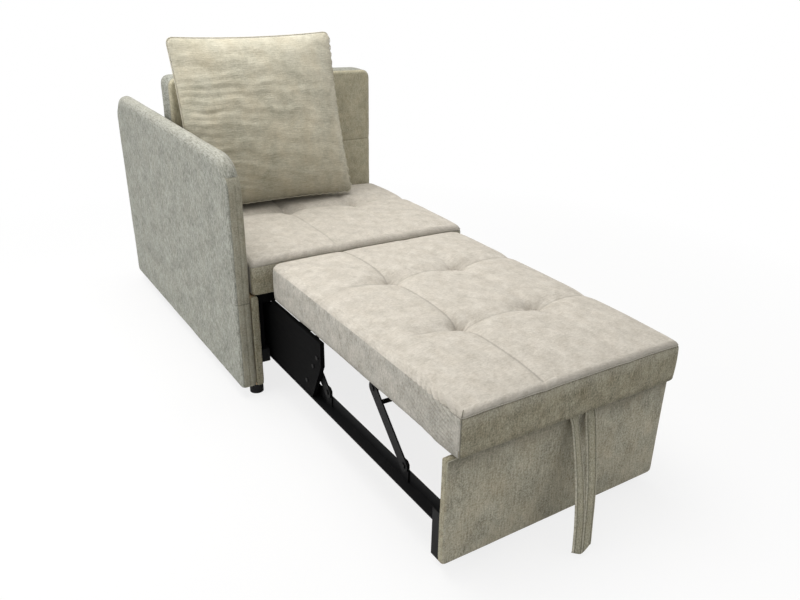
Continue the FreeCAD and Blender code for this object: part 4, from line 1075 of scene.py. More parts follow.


@dataclass
class Quilt:
    """Sewn lines and tufts of a cushion's top, on the two axes of its outline."""

    outline: Outline
    seams_a: Sequence[float]
    seams_b: Sequence[float]
    tufts: Sequence[tuple[float, float]]
    crown: float
    pit: float = 0.010        # depth of the button pit
    pull: float = 0.012       # depth of the wide hollow round a tuft
    reach: float = 0.040      # size of that hollow
    valley: float = 0.006     # depth of the valley along a cross seam
    fold: float = 0.0042      # depth of the small folds at a tuft
    cross_from: float = -1e9  # where the cross seams start

    def edge(self, a: Array, b: Array) -> Array:
        """Tell the rim from the inside.

        Args:
            a: places on the first axis.
            b: places on the second axis.

        Returns:
            0 on the rim and 1 well inside it, for each place.
        """
        o = self.outline
        near = np.minimum(np.minimum(a - o.a0, o.a1 - a), np.minimum(b - o.b0, o.b1 - b))
        return unit(near / 0.028) ** 0.8

    def crossing(self, a: Array) -> Array:
        """Return 1 where the cross seams run and 0 before they start."""
        return unit((a - self.cross_from) / 0.05)

    def folds(self, tuft: int, far: Array, turn: Array) -> Array:
        """Work out the small folds that run out from a tuft.

        Args:
            tuft: its number.
            far: distances from it.
            turn: directions from it, in radians.

        Returns:
            How much of a fold is at each place.
        """
        found = np.zeros_like(far)
        for m, angle in enumerate(FOLD_TURNS):
            off = np.angle(np.exp(1j * (turn - angle - 0.2 * math.sin(3.1 * tuft + m))))
            long = 0.030 + 0.016 * (0.5 + 0.5 * math.sin(2.3 * m + tuft))
            width = 0.13 + 0.05 * math.sin(m * 1.7 + tuft)
            found += bump_of(off, width) * np.exp(-far / long) * unit(far / 0.008)
        return found

    def height(self, a: Array, b: Array) -> Array:
        """Work out the height of the top over its rim.

        Args:
            a: places on the first axis.
            b: places on the second axis.

        Returns:
            The heights, in metres.
        """
        o = self.outline
        u = (a - (o.a0 + o.a1) / 2) / ((o.a1 - o.a0) / 2)
        v = (b - (o.b0 + o.b1) / 2) / ((o.b1 - o.b0) / 2)
        top = self.crown * unit(1 - np.abs(u) ** 6) ** 0.85 * unit(1 - np.abs(v) ** 6) ** 0.85
        near = np.full_like(a, 9.0)
        for ta, tb in self.tufts:
            near = np.minimum(near, np.hypot(a - ta, b - tb))
        rim = self.edge(a, b)
        close = bump_of(near, 0.075)
        for line in self.seams_a:
            hollow = (0.0024 + 0.007 * close) * bump_of(a - line, 0.018)
            top -= rim * (0.0020 * bump_of(a - line, 0.0026) + hollow)
        for line in self.seams_b:
            hollow = (self.valley + 0.009 * close) * bump_of(b - line, 0.024)
            top -= self.crossing(a) * rim * (0.0013 * bump_of(b - line, 0.0024) + hollow)
        for k, (ta, tb) in enumerate(self.tufts):
            far = np.hypot(a - ta, b - tb)
            folds = self.folds(k, far, np.arctan2(b - tb, a - ta))
            top -= (self.pull * np.exp(-(far / self.reach) ** 1.5) + self.pit * bump_of(far, 0.0125)
                    + self.fold * folds)
        return top

    def painted_shades(self, a: Array, b: Array) -> Array:
        """Work out the painted shade in the sewn lines and tuft pits.

        Args:
            a: places on the first axis.
            b: places on the second axis.

        Returns:
            A mark from 0 to 1 for each place.
        """
        mark = np.zeros_like(a)
        for line in self.seams_a:
            mark = np.maximum(mark, 0.62 * bump_of(a - line, LINE_DARK))
        for line in self.seams_b:
            mark = np.maximum(mark, 0.42 * self.crossing(a) * bump_of(b - line, LINE_DARK))
        for ta, tb in self.tufts:
            far = np.hypot(a - ta, b - tb)
            mark = np.maximum(mark, 0.45 * bump_of(far, 0.009) + 0.12 * bump_of(far, 0.03))
        return mark


def finish_pad(piece: bpy.types.Object, body: str, fill: float, *nodes: str) -> None:
    """Args:
        piece: the piece.
        body: the body that it rides on.
        fill: how tightly it is stuffed, from 0 to 1; not used.
        *nodes: the CAD nodes that it replaces.
    """
    sewn_on(piece, body)
    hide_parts(*nodes)


# Sub-assemblies


CUSHION_FILL = 0.85
THREAD_OVER_SEAM = 0.0035   # from a seam up to its stitches


@dataclass
class PullOutCushion:
    """The quilted foot cushion on the lifting deck."""

    seams_x: tuple[float, float] = (344.0, 577.0)
    tufts_y: tuple[float, float] = (-634.0, -301.0)
    slant: float = 0.0095      # how far the right seam runs outward, towards the front
    corner: float = 0.014      # radius of the front corners
    back_corner: float = 0.030
    crown: float = 0.021
    seam: float = 0.024        # from the top's rim down to the front's seam
    wrinkle: float = 0.0027    # depth of the gathers on the left side
    sag: float = 0.006         # of the lower edge, at the left front corner
    front_sag: float = 0.3     # share of that along the front

    def build(self) -> bpy.types.Object:
        """Build the cushion with its stitches.

        Returns:
            The cushion.
        """
        low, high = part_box("pull_out_cushion")
        sides = [drawn(x, 0, 0).x for x in self.seams_x]
        rows = [drawn(0, y, 0).y for y in self.tufts_y]
        outline = Outline(low.x, high.x, low.y, high.y, (self.corner,) * 2 + (self.back_corner,) * 2)
        quilt = Quilt(outline, sides, rows, [(x, y) for x in sides for y in rows], self.crown,
                      cross_from=sides[0] - 0.16)

        def side_slot(middles: Array) -> Array:
            """Return the slot of the front face, and of the others."""
            return np.where((middles[:, 1] < low.y + 0.009) & (middles[:, 0] > low.x + 0.004), 2, 1)

        def seam_on(a: Array, b: Array) -> Array:
            """Say where the seam shows: along the front and just round its left corner.

            Args:
                a: places on the first axis.
                b: places on the second axis.

            Returns:
                A share from 0 to 1 for each place.
            """
            front = unit((low.y + 0.014 - b) / 0.008)
            left = unit((low.x + 0.014 - a) / 0.008) * unit((low.y + 0.09 - b) / 0.03)
            return np.maximum(front, left)

        pad = Pad("pull_out_cushion_cloth", outline, high.z - low.z - self.crown, Vector((0, 0, low.z)),
                  (X, Y, Z), step=0.0085, low_r=0.009, high_r=0.019, bow=0.003,
                  relief=quilt.height, painted_shades=quilt.painted_shades, lines_a=sides, lines_b=rows,
                  fine_b=(low.y, low.y + 0.24, 0.0045), seams=(self.seam,), seam_on=seam_on,
                  ring_step=0.0036, seam_dark=0.6, seam_depth=0.0016, shade=0.6, painted_light_over_roll=0.5, swell=0.0014,
                  finishes=(Cloth.TOP, Cloth.SIDE), more_finishes=(Cloth.FRONT,), side_finish=side_slot,
                  top_down=self.seam)
        piece = pad.build()
        self.settle(piece, low, high, sides[1])
        smoothed(piece)
        finish_pad(piece, "deck", CUSHION_FILL, "pull_out_cushion")
        middle = middle_of("pull_out_cushion")
        stitches("foot_cushion_stitches", pad.seam_path(self.seam - 0.0030), "deck", middle, radius=0.0008)
        self.corner_seam(pad.corner_path(low.x, low.y, 0.004), middle)
        return piece

    def corner_seam(self, path: Array, middle: Array) -> None:
        """Sew the upright seam of the front left corner.

        Args:
            path: points of the seam.
            middle: the middle of the cushion.
        """
        tube, quads = tube_mesh(walk(path, 0.004, False), 0.0011, 6, False)
        # A dark tube along the corner's crease, coloured as painted shade in the seam.
        shadow = Thread("thread_shadow", (0.22, 0.21, 0.165))
        sewn_on(mesh_piece("foot_cushion_corner_seam", tube, quads, None, (shadow,)), "deck")
        beside = path + np.array([0.0035, -0.0006, 0])
        stitches("foot_cushion_corner_stitches", beside, "deck", middle, radius=0.0007)

    def settle(self, piece: bpy.types.Object, low: Vector, high: Vector, line: float) -> None:
        """Slant the right seam, gather the left side near the front, and let the lower edges sag.

        Args:
            piece: the cushion.
            low: lower corner of its box.
            high: upper corner of its box.
            line: place of the right seam.
        """
        p = points_of(piece)
        along = np.clip(((low.y + high.y) / 2 - p[:, 1]) / 0.167, -1.5, 1.3)
        p[:, 0] += self.slant * along * bump_of(p[:, 0] - line, 0.13)
        on_left = unit((low.x + 0.018 - p[:, 0]) / 0.012)
        forward = unit((low.y + 0.26 - p[:, 1]) / 0.16) * unit((p[:, 1] - low.y - 0.006) / 0.03)
        rise = unit((p[:, 2] - low.z) / 0.02)
        far = np.hypot((p[:, 1] - (low.y - 0.02)) * 0.75, (p[:, 2] - (high.z + 0.045)) * 1.25)
        arcs = np.sin(far / 0.0125 * 2 * math.pi + 1.6 * soft_noise(p, 22.0, 4.0))
        p[:, 0] -= self.wrinkle * arcs * on_left * forward * rise
        # Painted shade in the valleys of the gathers.
        marked(piece, "dip", 0.30 * unit(-arcs) * on_left * forward * rise)
        hang = unit(1 - (p[:, 2] - low.z) / 0.06)
        front = unit(1 - (p[:, 1] - low.y) / 0.05)
        middle = unit(1 - np.abs((p[:, 0] - (low.x + high.x) / 2) / ((high.x - low.x) / 2)) ** 2)
        p[:, 2] -= self.sag * self.front_sag * hang * front * middle
        left = unit(1 - (p[:, 0] - low.x) / 0.05) * bump_of(p[:, 1] - low.y - 0.07, 0.06)
        p[:, 2] -= self.sag * hang * left
        put_points(piece, p)


@dataclass
class SeatCushion:
    """The fixed seat cushion with one row of tufts."""

    seams_x: tuple[float, float] = (339.0, 573.0)
    tuft_y: float = 385.5
    slant: float = 0.0125      # how far the row of tufts runs forward, towards the right
    crown: float = 0.018
    seam: float = 0.032        # from the top's rim down to the front's seam

    def build(self) -> bpy.types.Object:
        """Build the cushion with its stitches.

        Returns:
            The cushion.
        """
        low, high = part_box("seat_cushion")
        sides = [drawn(x, 0, 0).x for x in self.seams_x]
        row = drawn(0, self.tuft_y, 0).y
        outline = Outline(low.x, high.x, low.y, high.y, (0.012, 0.014, 0.016, 0.016))
        quilt = Quilt(outline, sides, [row], [(x, row) for x in sides], self.crown, pit=0.009, pull=0.009)

        def side_slot(middles: Array) -> Array:
            """Return the slot of the front face and of the others."""
            return np.where(middles[:, 1] < low.y + 0.012, 2, 1)

        def seam_on(a: Array, b: Array) -> Array:
            """Return 1 along the front."""
            return unit((low.y + 0.014 - b) / 0.010) * np.ones_like(a)

        pad = Pad("seat_cushion_cloth", outline, high.z - low.z - self.crown, Vector((0, 0, low.z)),
                  (X, Y, Z), step=0.010, low_r=0.008, high_r=0.022, bow=0.002,
                  relief=quilt.height, painted_shades=quilt.painted_shades,
                  lines_a=sides, lines_b=[row], seams=(self.seam,), seam_on=seam_on, swell=0.0016, painted_light_over_roll=0.5,
                  finishes=(Cloth.TOP, Cloth.SIDE), more_finishes=(Cloth.FRONT,), side_finish=side_slot,
                  top_down=self.seam)
        piece = pad.build()
        p = points_of(piece)
        along = np.clip((p[:, 0] - (sides[0] + sides[1]) / 2) / ((sides[1] - sides[0]) / 2), -1.5, 1.5)
        p[:, 1] -= self.slant * along * bump_of(p[:, 1] - row, 0.13)
        put_points(piece, p)
        smoothed(piece)
        finish_pad(piece, "base", CUSHION_FILL, "seat_cushion")
        stitches("seat_cushion_stitches", pad.seam_path(self.seam - THREAD_OVER_SEAM), "base",
                 middle_of("seat_cushion"))
        return piece


@dataclass
class BackCushion:
    """The padded back that folds backward."""

    seam_z: float = 610.0
    edge: float = 0.011
    foot_edge: float = 0.045  # radius of its lower edges, which clear the base as it folds
    crown: float = 0.004
    seam: float = 0.022       # from the front's rim back to the side's seam

    def build(self) -> bpy.types.Object:
        """Build the back with its stitches.

        Returns:
            The back.
        """
        low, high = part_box("back_cushion")
        line = drawn(0, 0, self.seam_z).z
        outline = Outline(low.x, high.x, low.z, high.z, (0.012, 0.012, 0.030, 0.030))

        def relief(a: Array, b: Array) -> Array:
            """Work out the crown with its cross seam.

            Args:
                a: places on the first axis.
                b: places on the second axis.

            Returns:
                The heights, in metres.
            """
            u = (a - (low.x + high.x) / 2) / ((high.x - low.x) / 2)
            v = (b - (low.z + high.z) / 2) / ((high.z - low.z) / 2)
            top = self.crown * unit(1 - np.abs(u) ** 4) * unit(1 - np.abs(v) ** 4)
            top -= 0.0018 * bump_of(b - line, 0.0025) + 0.0015 * bump_of(b - line, 0.012)
            return top

        def painted_shades(a: Array, b: Array) -> Array:
            """Return the painted shade in the cross seam's line, and the painted shade towards the seat."""
            return np.maximum(0.6 * bump_of(b - line, LINE_DARK), 0.25 * unit(1 - (b - low.z) / 0.09))

        pad = Pad("back_cushion_cloth", outline, high.y - low.y - self.crown, Vector((0, high.y, 0)),
                  (X, Z, -Y), step=0.011, low_r=self.edge, high_r=self.edge, bow=0.002,
                  relief=relief, painted_shades=painted_shades,
                  lines_b=[line], seams=(self.seam,), swell=0.0016, round_r=self.foot_edge,
                  rounder=lambda a, b: unit(1 - (b - low.z) / 0.06) * np.ones_like(a),
                  finishes=(Cloth.BACK, Cloth.ARM), top_down=self.seam)
        piece = pad.build()
        smoothed(piece)
        finish_pad(piece, "backrest", CUSHION_FILL, "back_cushion")
        stitches("back_cushion_stitches", pad.seam_path(self.seam - THREAD_OVER_SEAM), "backrest",
                 middle_of("back_cushion"))
        return piece


@dataclass
class Arm:
    """The padded arm: two faces, a band sewn between them down the front, and a round top."""

    top_corner: float = 0.095
    low_corner: float = 0.012
    roll: float = 0.023       # radius of the edges over the top
    edge: float = 0.011       # radius of the other edges
    seam: float = 0.014       # from each face to the band's seams
    cross_seams: tuple[float, float] = (0.315, 0.690)   # heights of the seams across the band

    def build(self) -> bpy.types.Object:
        """Build the arm.

        Returns:
            The arm.
        """
        low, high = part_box("arm_cover")
        outline = Outline(low.y, high.y, low.z, high.z,
                          (self.low_corner, self.low_corner, self.top_corner, self.top_corner))

        def rounder(a: Array, b: Array) -> Array:
            """Return 1 over the top, and 0 lower down."""
            return unit((b - high.z + 0.075) / 0.05) * np.ones_like(a)

        def seam_on(a: Array, b: Array) -> Array:
            """Return 1 on the narrow front face."""
            return unit((low.y + 0.05 - a) / 0.03) * (1 - rounder(a, b))

        def band_slot(middles: Array) -> Array:
            """Return the slot of the front's narrow face, and of the top and back."""
            return np.where((middles[:, 0] < low.y + 0.02) & (middles[:, 1] < self.cross_seams[1]), 1, 0)

        width = high.x - low.x
        pad = Pad("arm_cloth", outline, width, Vector((high.x, 0, 0)), (Y, Z, -X), step=0.013,
                  low_r=self.edge, high_r=self.edge, bow=0.001, seams=(self.seam, width - self.seam),
                  seam_on=seam_on, rounder=rounder, round_r=self.roll, swell=0.0012, seam_dark=0.22,
                  seam_depth=0.0009, lines_b=self.cross_seams, along_perimeter=True,
                  finishes=(Cloth.ARM, Cloth.ARM_BAND), side_finish=band_slot, top_down=self.seam)
        piece = pad.build()
        p = points_of(piece)
        front = unit((low.y + 0.02 - p[:, 1]) / 0.012)
        for z in self.cross_seams:
            p[:, 1] += 0.0016 * front * bump_of(p[:, 2] - z, 0.0026)
            # Painted shade in the cross seams' lines on the front band.
            marked(piece, "dip", 0.55 * front * bump_of(p[:, 2] - z, 0.0016))
        put_points(piece, p)
        # Painted highlight over the top, where the light from above falls.
        marked(piece, "lift", 0.34 * unit(1 - (high.z - p[:, 2]) / 0.034) ** 0.7)
        smoothed(piece)
        finish_pad(piece, "base", 0.9, "arm_cover")
        return piece


@dataclass
class WrappedBoards:
    """The thin cloth-wrapped boards: front panel, right side, back, and the strips on the front edges."""

    corner: float = 0.004     # radius of their outlines' corners
    step: float = 0.014       # grid spacing

    def wrapped(self, node: str, across: Vector, body: str, cloth: Cloth, radius: float,
                swell: float = 0.0004, folds: float = 0.0, shade: float = 0.0,
                side: Optional[Cloth] = None) -> bpy.types.Object:
        """Wrap one board.

        Args:
            node: the CAD node that the piece replaces.
            across: the axis through the board, towards its shown face.
            body: the body that it rides on.
            cloth: its finish.
            radius: of its shown edges.
            swell: unevenness of the padding.
            folds: depth of the soft upright folds in its middle.
            shade: strength of the painted shadow right under its top edge.
            side: finish of its edges, or None for the same.

        Returns:
            The piece.
        """
        low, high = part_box(node)
        if abs(across.y) > 0.5:
            spans, axes = (low.x, high.x, low.z, high.z), (X, Z, across)
            depth, start = high.y - low.y, Vector((0, high.y if across.y < 0 else low.y, 0))
        else:
            spans, axes = (low.y, high.y, low.z, high.z), (Y, Z, across)
            depth, start = high.x - low.x, Vector((high.x if across.x < 0 else low.x, 0, 0))

        def relief(a: Array, b: Array) -> Array:
            """Work out the soft upright folds.

            Args:
                a: places on the first axis.
                b: places on the second axis.

            Returns:
                The heights, in metres.
            """
            inside = unit((a - low.x) / 0.2) * unit((high.x - a) / 0.2)
            inside *= unit((high.z - b) / 0.05) * unit((b - low.z) / 0.05)
            return folds * inside * np.sin(a / 0.042 * math.pi + 1.8 * np.sin(b * 9.0 + a * 5.0))

        def painted_shades(a: Array, b: Array) -> Array:
            """Return the painted shadow under the top edge."""
            return shade * np.exp(-(high.z - b) / 0.030)

        pad = Pad(node + "_cloth", Outline(*spans, (self.corner,) * 4), depth, start, axes, step=self.step,
                  low_r=min(radius, depth * 0.4), high_r=min(radius, depth * 0.45), swell=swell,
                  relief=relief if folds else None, painted_shades=painted_shades if shade else None,
                  fine_b=(high.z - 0.10, high.z, 0.006) if shade else None,
                  along_perimeter=True, finishes=(cloth, side or cloth), top_down=0.003 if side else 1.0)
        piece = pad.build()
        smoothed(piece)
        finish_pad(piece, body, 1.0, node)
        return piece

    def build(self) -> list[bpy.types.Object]:
        """Build all of them."""
        return [
            self.wrapped("panel_cover", -Y, "carriage", Cloth.PANEL, 0.004, swell=0.0009, folds=0.0013,
                         shade=0.85, side=Cloth.FRONT),
            self.wrapped("side_cover_right", X, "base", Cloth.ARM, 0.0015),
            self.wrapped("rear_cover", Y, "base", Cloth.ARM, 0.0015),
            self.wrapped("front_post_left", -Y, "base", Cloth.FRONT, 0.004),
            self.wrapped("front_post_right", -Y, "base", Cloth.FRONT, 0.004),
        ]


STRAP_ACROSS = (-1, -0.97, -0.86, -0.74, -0.66, -0.58, -0.3, 0, 0.3, 0.58, 0.66, 0.74, 0.86, 0.97, 1)


@dataclass
class PullStrap:
    """The doubled strap of folded cloth that hangs askew in front of the panel."""

    strand: float = 0.031     # width of one strand
    gap: float = 0.020        # between the strands where they are sewn on
    meet: float = 0.26        # how far down they meet
    thick: float = 0.0052
    lean: float = 0.068       # how far the end hangs to the left
    top_x: float = 475.0      # on the drawing, in millimetres
    rows: int = 64
    tip: float = 0.018        # height of the pointed end
    bow: float = 0.014
    overlap: float = 0.0012   # of the strands below where they meet

    def centre_line(self, low: Vector, high: Vector) -> Array:
        """Draw the middle of the strap, from where it is sewn on.

        Args:
            low: lower corner of its box.
            high: upper corner of its box.

        Returns:
            Rows of depth and height.
        """
        t = np.linspace(0, 1, self.rows)
        start, end = (high.y - self.thick / 2, high.z - 0.002), (low.y + self.thick / 2, low.z - 0.004)
        bow = self.bow * np.sin(math.pi * t)
        return np.stack([start[0] + (end[0] - start[0]) * t - bow, start[1] + (end[1] - start[1]) * t], 1)

    def build(self) -> bpy.types.Object:
        """Build both strands, which end together in the strip's pointed fold.

        Returns:
            The strap.
        """
        low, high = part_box("pull_strap")
        middle = drawn(self.top_x, 0, 0).x
        line = self.centre_line(low, high)
        run = distance_along(line)
        total = run[-1]
        tangent = np.gradient(line, run, axis=0)
        tangent /= np.linalg.norm(tangent, axis=1, keepdims=True)
        out = np.stack([tangent[:, 1], -tangent[:, 0]], 1)
        out *= np.where(out[:, :1] > 0, -1, 1)
        places = np.array(STRAP_ACROSS)
        edge = np.abs(places)
        face = 0.5 * (1 - 0.55 * unit((edge - 0.86) / 0.14) ** 2) + 0.10 * bump_of(edge - 0.82, 0.09)
        face -= 0.16 * bump_of(edge - 0.66, 0.05)
        across = np.concatenate([places, places[::-1]])
        thickness = np.concatenate([face, -face])
        edge = np.abs(across)
        points, faces, cloth = [], [], []
        ring = len(across)
        for side in (-1, 1):
            base = 0 if side < 0 else self.rows * ring
            for i in range(self.rows):
                share = min(run[i] / self.meet, 1.0)
                inner = self.gap / 2 * (1 - share) - self.overlap * share
                outer = inner + self.strand
                shift = -self.lean * run[i] / total
                roll = (0.34 * side - 0.1) * (1 - share) ** 1.3
                for w, part in zip(across, thickness):
                    x = side * (inner + (outer - inner) * (0.5 + 0.5 * w * side))
                    back = max(total - self.tip * abs(x) / self.strand, 0.0)
                    here = min(run[i], back)
                    y, z = np.interp(here, run, line[:, 0]), np.interp(here, run, line[:, 1])
                    turn = roll * w * self.strand / 2
                    d = part * self.thick + turn * min(1.0, run[i] / 0.02)
                    points.append((middle + shift + x, y + out[i, 0] * d, z + out[i, 1] * d))
            for i in range(self.rows - 1):
                for j in range(ring):
                    k = (j + 1) % ring
                    near, far = base + i * ring, base + (i + 1) * ring
                    faces.append((near + j, near + k, far + k, far + j))
                    left, right = across[j] * self.strand / 2, across[k] * self.strand / 2
                    cloth.extend([(left, run[i]), (right, run[i]), (right, run[i + 1]), (left, run[i + 1])])
            for i, flip in ((0, -1), (self.rows - 1, 1)):
                faces.append(tuple(base + i * ring + j for j in range(ring))[::flip])
                cloth.extend((0.002 * j, 0.0) for j in range(ring))
        # Painted highlight along the rolled outer edges, and painted shade in the groove along each strand.
        marks = np.tile(bump_of(edge - 0.93, 0.09), 2 * self.rows)
        painted_shades = np.tile(0.85 * bump_of(edge - 0.66, 0.07), 2 * self.rows)
        piece = mesh_piece("pull_strap_cloth", np.array(points), faces, cloth, (Cloth.STRAP,),
                           None, {"lift": marks, "dip": painted_shades})
        smoothed(piece)
        sewn_on(piece, "strap")
        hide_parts("pull_strap")
        return piece


@dataclass
class ThrowPillow:
    """The loose pillow: two square sheets sewn together and stuffed."""

    cells: int = 104
    wide: float = 0.560
    tall: float = 0.540
    deep: float = 0.176       # most thickness as stuffed
    fold: float = 0.0024      # depth of the creases
    fold_pitch: float = 0.023
    cut: float = 0.572        # width of the flat sheets
    thick: float = 0.185      # before it is stuffed
    waist: float = 0.034      # how far its sides are drawn in
    corner: float = 0.92      # where its corners start to round, from the middle at 0 to the edge at 1
    lean: float = 13.5        # in degrees
    welt: float = 0.0018      # radius
    pressure: float = 3.0
    slack: float = 0.004
    hold: float = 0.9         # how firmly the sewn edge is held while it is stuffed
    rise: float = 0.005       # from the middle of its box

    def build(self) -> bpy.types.Object:
        """Build, stuff and lean the pillow, and sew its welt.

        Returns:
            The pillow.
        """
        low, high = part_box("throw_pillow")
        n = self.cells + 1
        g = np.linspace(-1, 1, n)
        u, v = np.meshgrid(g, g, indexing="ij")
        half = self.cut / 2
        full = unit((1 - np.abs(u) ** 2.3) * (1 - np.abs(v) ** 2.3))
        thick = self.thick / 2 * full ** 0.55
        in_u = 1 - self.waist * (1 - v ** 2) * np.abs(u) ** 3
        in_v = 1 - self.waist * (1 - u ** 2) * np.abs(v) ** 3
        out_u, out_v = unit(np.abs(u) - self.corner), unit(np.abs(v) - self.corner)
        share = np.maximum(out_u, out_v) / np.maximum(np.hypot(out_u, out_v), 1e-9)
        rounded = np.where((out_u > 0) & (out_v > 0), share, 1)
        u_at = np.sign(u) * (np.abs(u) - out_u * (1 - rounded)) * in_u
        v_at = np.sign(v) * (np.abs(v) - out_v * (1 - rounded)) * in_v
        points = [np.stack([u_at * half, v_at * half, thick], 2).reshape(-1, 3)]
        index = np.arange(n * n).reshape(n, n)
        back = index.copy()
        back[1:-1, 1:-1] = np.arange((n - 2) * (n - 2)).reshape(n - 2, n - 2) + n * n
        points.append(np.stack([u_at * half, v_at * half, -thick], 2)[1:-1, 1:-1].reshape(-1, 3))
        points = np.vstack(points)
        faces, cloth = [], []
        for side, table, flip in ((0, index, 1), (1, back, -1)):
            for i in range(n - 1):
                for j in range(n - 1):
                    spots = [(i, j), (i + 1, j), (i + 1, j + 1), (i, j + 1)][::flip]
                    faces.append(tuple(int(table[s]) for s in spots))
                    cloth.extend((u[s] * half + side, v[s] * half) for s in spots)
        points[:, 2] += soft_noise(points * (1, 1, 0), 15.0, 5.0) * 0.0012 * np.sign(points[:, 2])
        rim = rim_of(index)
        near = np.minimum(half - np.abs(points[:, 0]), half - np.abs(points[:, 1]))
        across, down = points[:, 0] / self.cut + 0.5, 0.5 - points[:, 1] / self.cut
        # Painted highlight along the edges and towards the upper right, and painted shade towards the lower
        # left and along the bottom.
        pale = np.maximum(0.5 * bump_of(near, 0.006), 0.30 * unit(across - down + 0.1))
        dark = np.maximum(0.12 * unit(down - across + 0.2),
                          0.5 * unit((down - 0.66) / 0.34) ** 1.6)
        marks = {"lift": pale, "dip": dark}
        piece = mesh_piece("throw_pillow_cloth", points, faces, cloth, (Cloth.PILLOW,), None, marks)
        held = np.zeros(len(points))
        held[rim] = self.hold
        puff(piece, held, self.pressure, 20, 0.02, self.slack, stiffness=20.0, bending=1.5)
        self.pose(piece, low, high)
        smoothed(piece)
        finish_pad(piece, "pillow", 0.75, "throw_pillow")
        tube, quads = tube_mesh(walk(points_of(piece)[rim], 0.005, True), self.welt, 8, True)
        cloth = [(0.002 * k, 0.004 * i) for i in range(len(quads)) for k in range(4)]
        # Painted highlight along the welt.
        marks = {"lift": np.full(len(tube), 0.55), "dip": np.zeros(len(tube))}
        sewn_on(mesh_piece("throw_pillow_welt", tube, quads, cloth, (Cloth.PILLOW,), None, marks), "pillow")
        return piece

    def pose(self, piece: bpy.types.Object, low: Vector, high: Vector) -> None:
        """Fit the stuffed pillow to its place: crease it, stand it up, lean it back and centre it.

        Args:
            piece: the pillow, lying flat.
            low: lower corner of its box.
            high: upper corner of its box.
        """
        p = points_of(piece)
        p -= (p.max(axis=0) + p.min(axis=0)) / 2
        size = p.max(axis=0) - p.min(axis=0)
        p *= np.array([self.wide / size[0], self.tall / size[1], min(self.deep / size[2], 1.05)])
        stand = np.array(Matrix.Rotation(math.radians(90 - self.lean), 3, "X"))
        turned = p @ stand.T
        centre = (turned.max(axis=0) + turned.min(axis=0)) / 2
        across, down = p[:, 0] / self.wide + 0.5, 0.5 - p[:, 1] / self.tall
        inside = unit(across / 0.03) * unit(down / 0.06) * unit((1 - down) / 0.06)
        uneven = soft_noise(p * (1, 1, 0), 13.0, 7.0)
        near_top = np.clip(down / 0.22, 0.25, 1)
        phase = (p[:, 1] * (1 - 0.35 * across) + 0.05 * across) / self.fold_pitch * 2 * math.pi + 2.2 * uneven
        length = 0.30 + 0.16 * np.sin(p[:, 1] * 61.0 + 1.0)
        fine = self.fold * np.sin(phase) * (0.14 + 0.86 * np.exp(-(across / length) ** 1.3))
        wide = 0.0017 * np.sin((p[:, 1] + 0.10 * across) / 0.067 * 2 * math.pi + 3.0 * uneven)
        wide = wide * (0.4 + 0.6 * (1 - across))
        fine = fine * near_top * (0.55 + 0.45 * np.sin(uneven * 2.4 + p[:, 1] * 23.0))
        p[:, 2] += np.sign(p[:, 2]) * (fine + wide + 0.0012 * soft_noise(p * (1, 1, 0), 40.0, 2.0)) * inside
        edge = unit(1 - (1 - across) / 0.03) + unit(1 - (1 - down) / 0.03)
        pucker = 0.0030 * np.sin((p[:, 0] + p[:, 1]) / 0.026 * 2 * math.pi + 1.5 * uneven) * unit(edge)
        p[:, 0] += pucker * (across > 0.9)
        p[:, 1] += pucker * (down > 0.9)
        p[:, 0] += 0.016 * across * down
        p[:, 1] += 0.010 * across * (1 - down)
        turned = p @ stand.T + (np.array((low + high) / 2) + np.array([0, 0, self.rise]) - centre)
        put_points(piece, turned)


@dataclass
class SeatWebbing:
    """Elastic bands across the seat frame."""

    sag: float = 0.003
    steps: int = 48           # along a band
    edge: float = 0.004       # width of a band's selvedge

    def build(self) -> bpy.types.Object:
        """Build each band where its CAD solid lies.

        Returns:
            All the bands.
        """
        low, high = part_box("seat_webbing")
        edges = sorted({round(float(y), 4) for y in points_of(frame["nodes"]["seat_webbing"])[:, 1]})
        xs = np.linspace(low.x, high.x, self.steps + 1)
        points, faces, cloth = [], [], []
        for y0, y1 in zip(edges[::2], edges[1::2]):
            base = len(points)
            section = [(y, high.z) for y in (y0, y0 + self.edge, y1 - self.edge, y1)]
            section += [(y, low.z) for y, _ in section[::-1]]
            sides = len(section)
            for x in xs:
                share = (x - low.x) / (high.x - low.x)
                drop = self.sag * math.sin(math.pi * share)
                points += [(x, y, z - drop) for y, z in section]
            for i in range(self.steps):
                for j in range(sides):
                    corners = ((i, j), (i, (j + 1) % sides), (i + 1, (j + 1) % sides), (i + 1, j))
                    faces.append(tuple(base + a * sides + b for a, b in corners))
                    cloth.extend((xs[a], points[base + a * sides + b][1]) for a, b in corners)
            for i, flip in ((0, -1), (self.steps, 1)):
                faces.append(tuple(base + i * sides + j for j in range(sides))[::flip])
                cloth.extend((xs[i], points[c][1]) for c in faces[-1])
        piece = mesh_piece("seat_webbing_bands", np.array(points), faces, cloth, (Webbing(),))
        piece.data.polygons.foreach_set("use_smooth", np.zeros(len(faces), dtype=bool))
        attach(piece, "base")
        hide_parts("seat_webbing")
        return piece


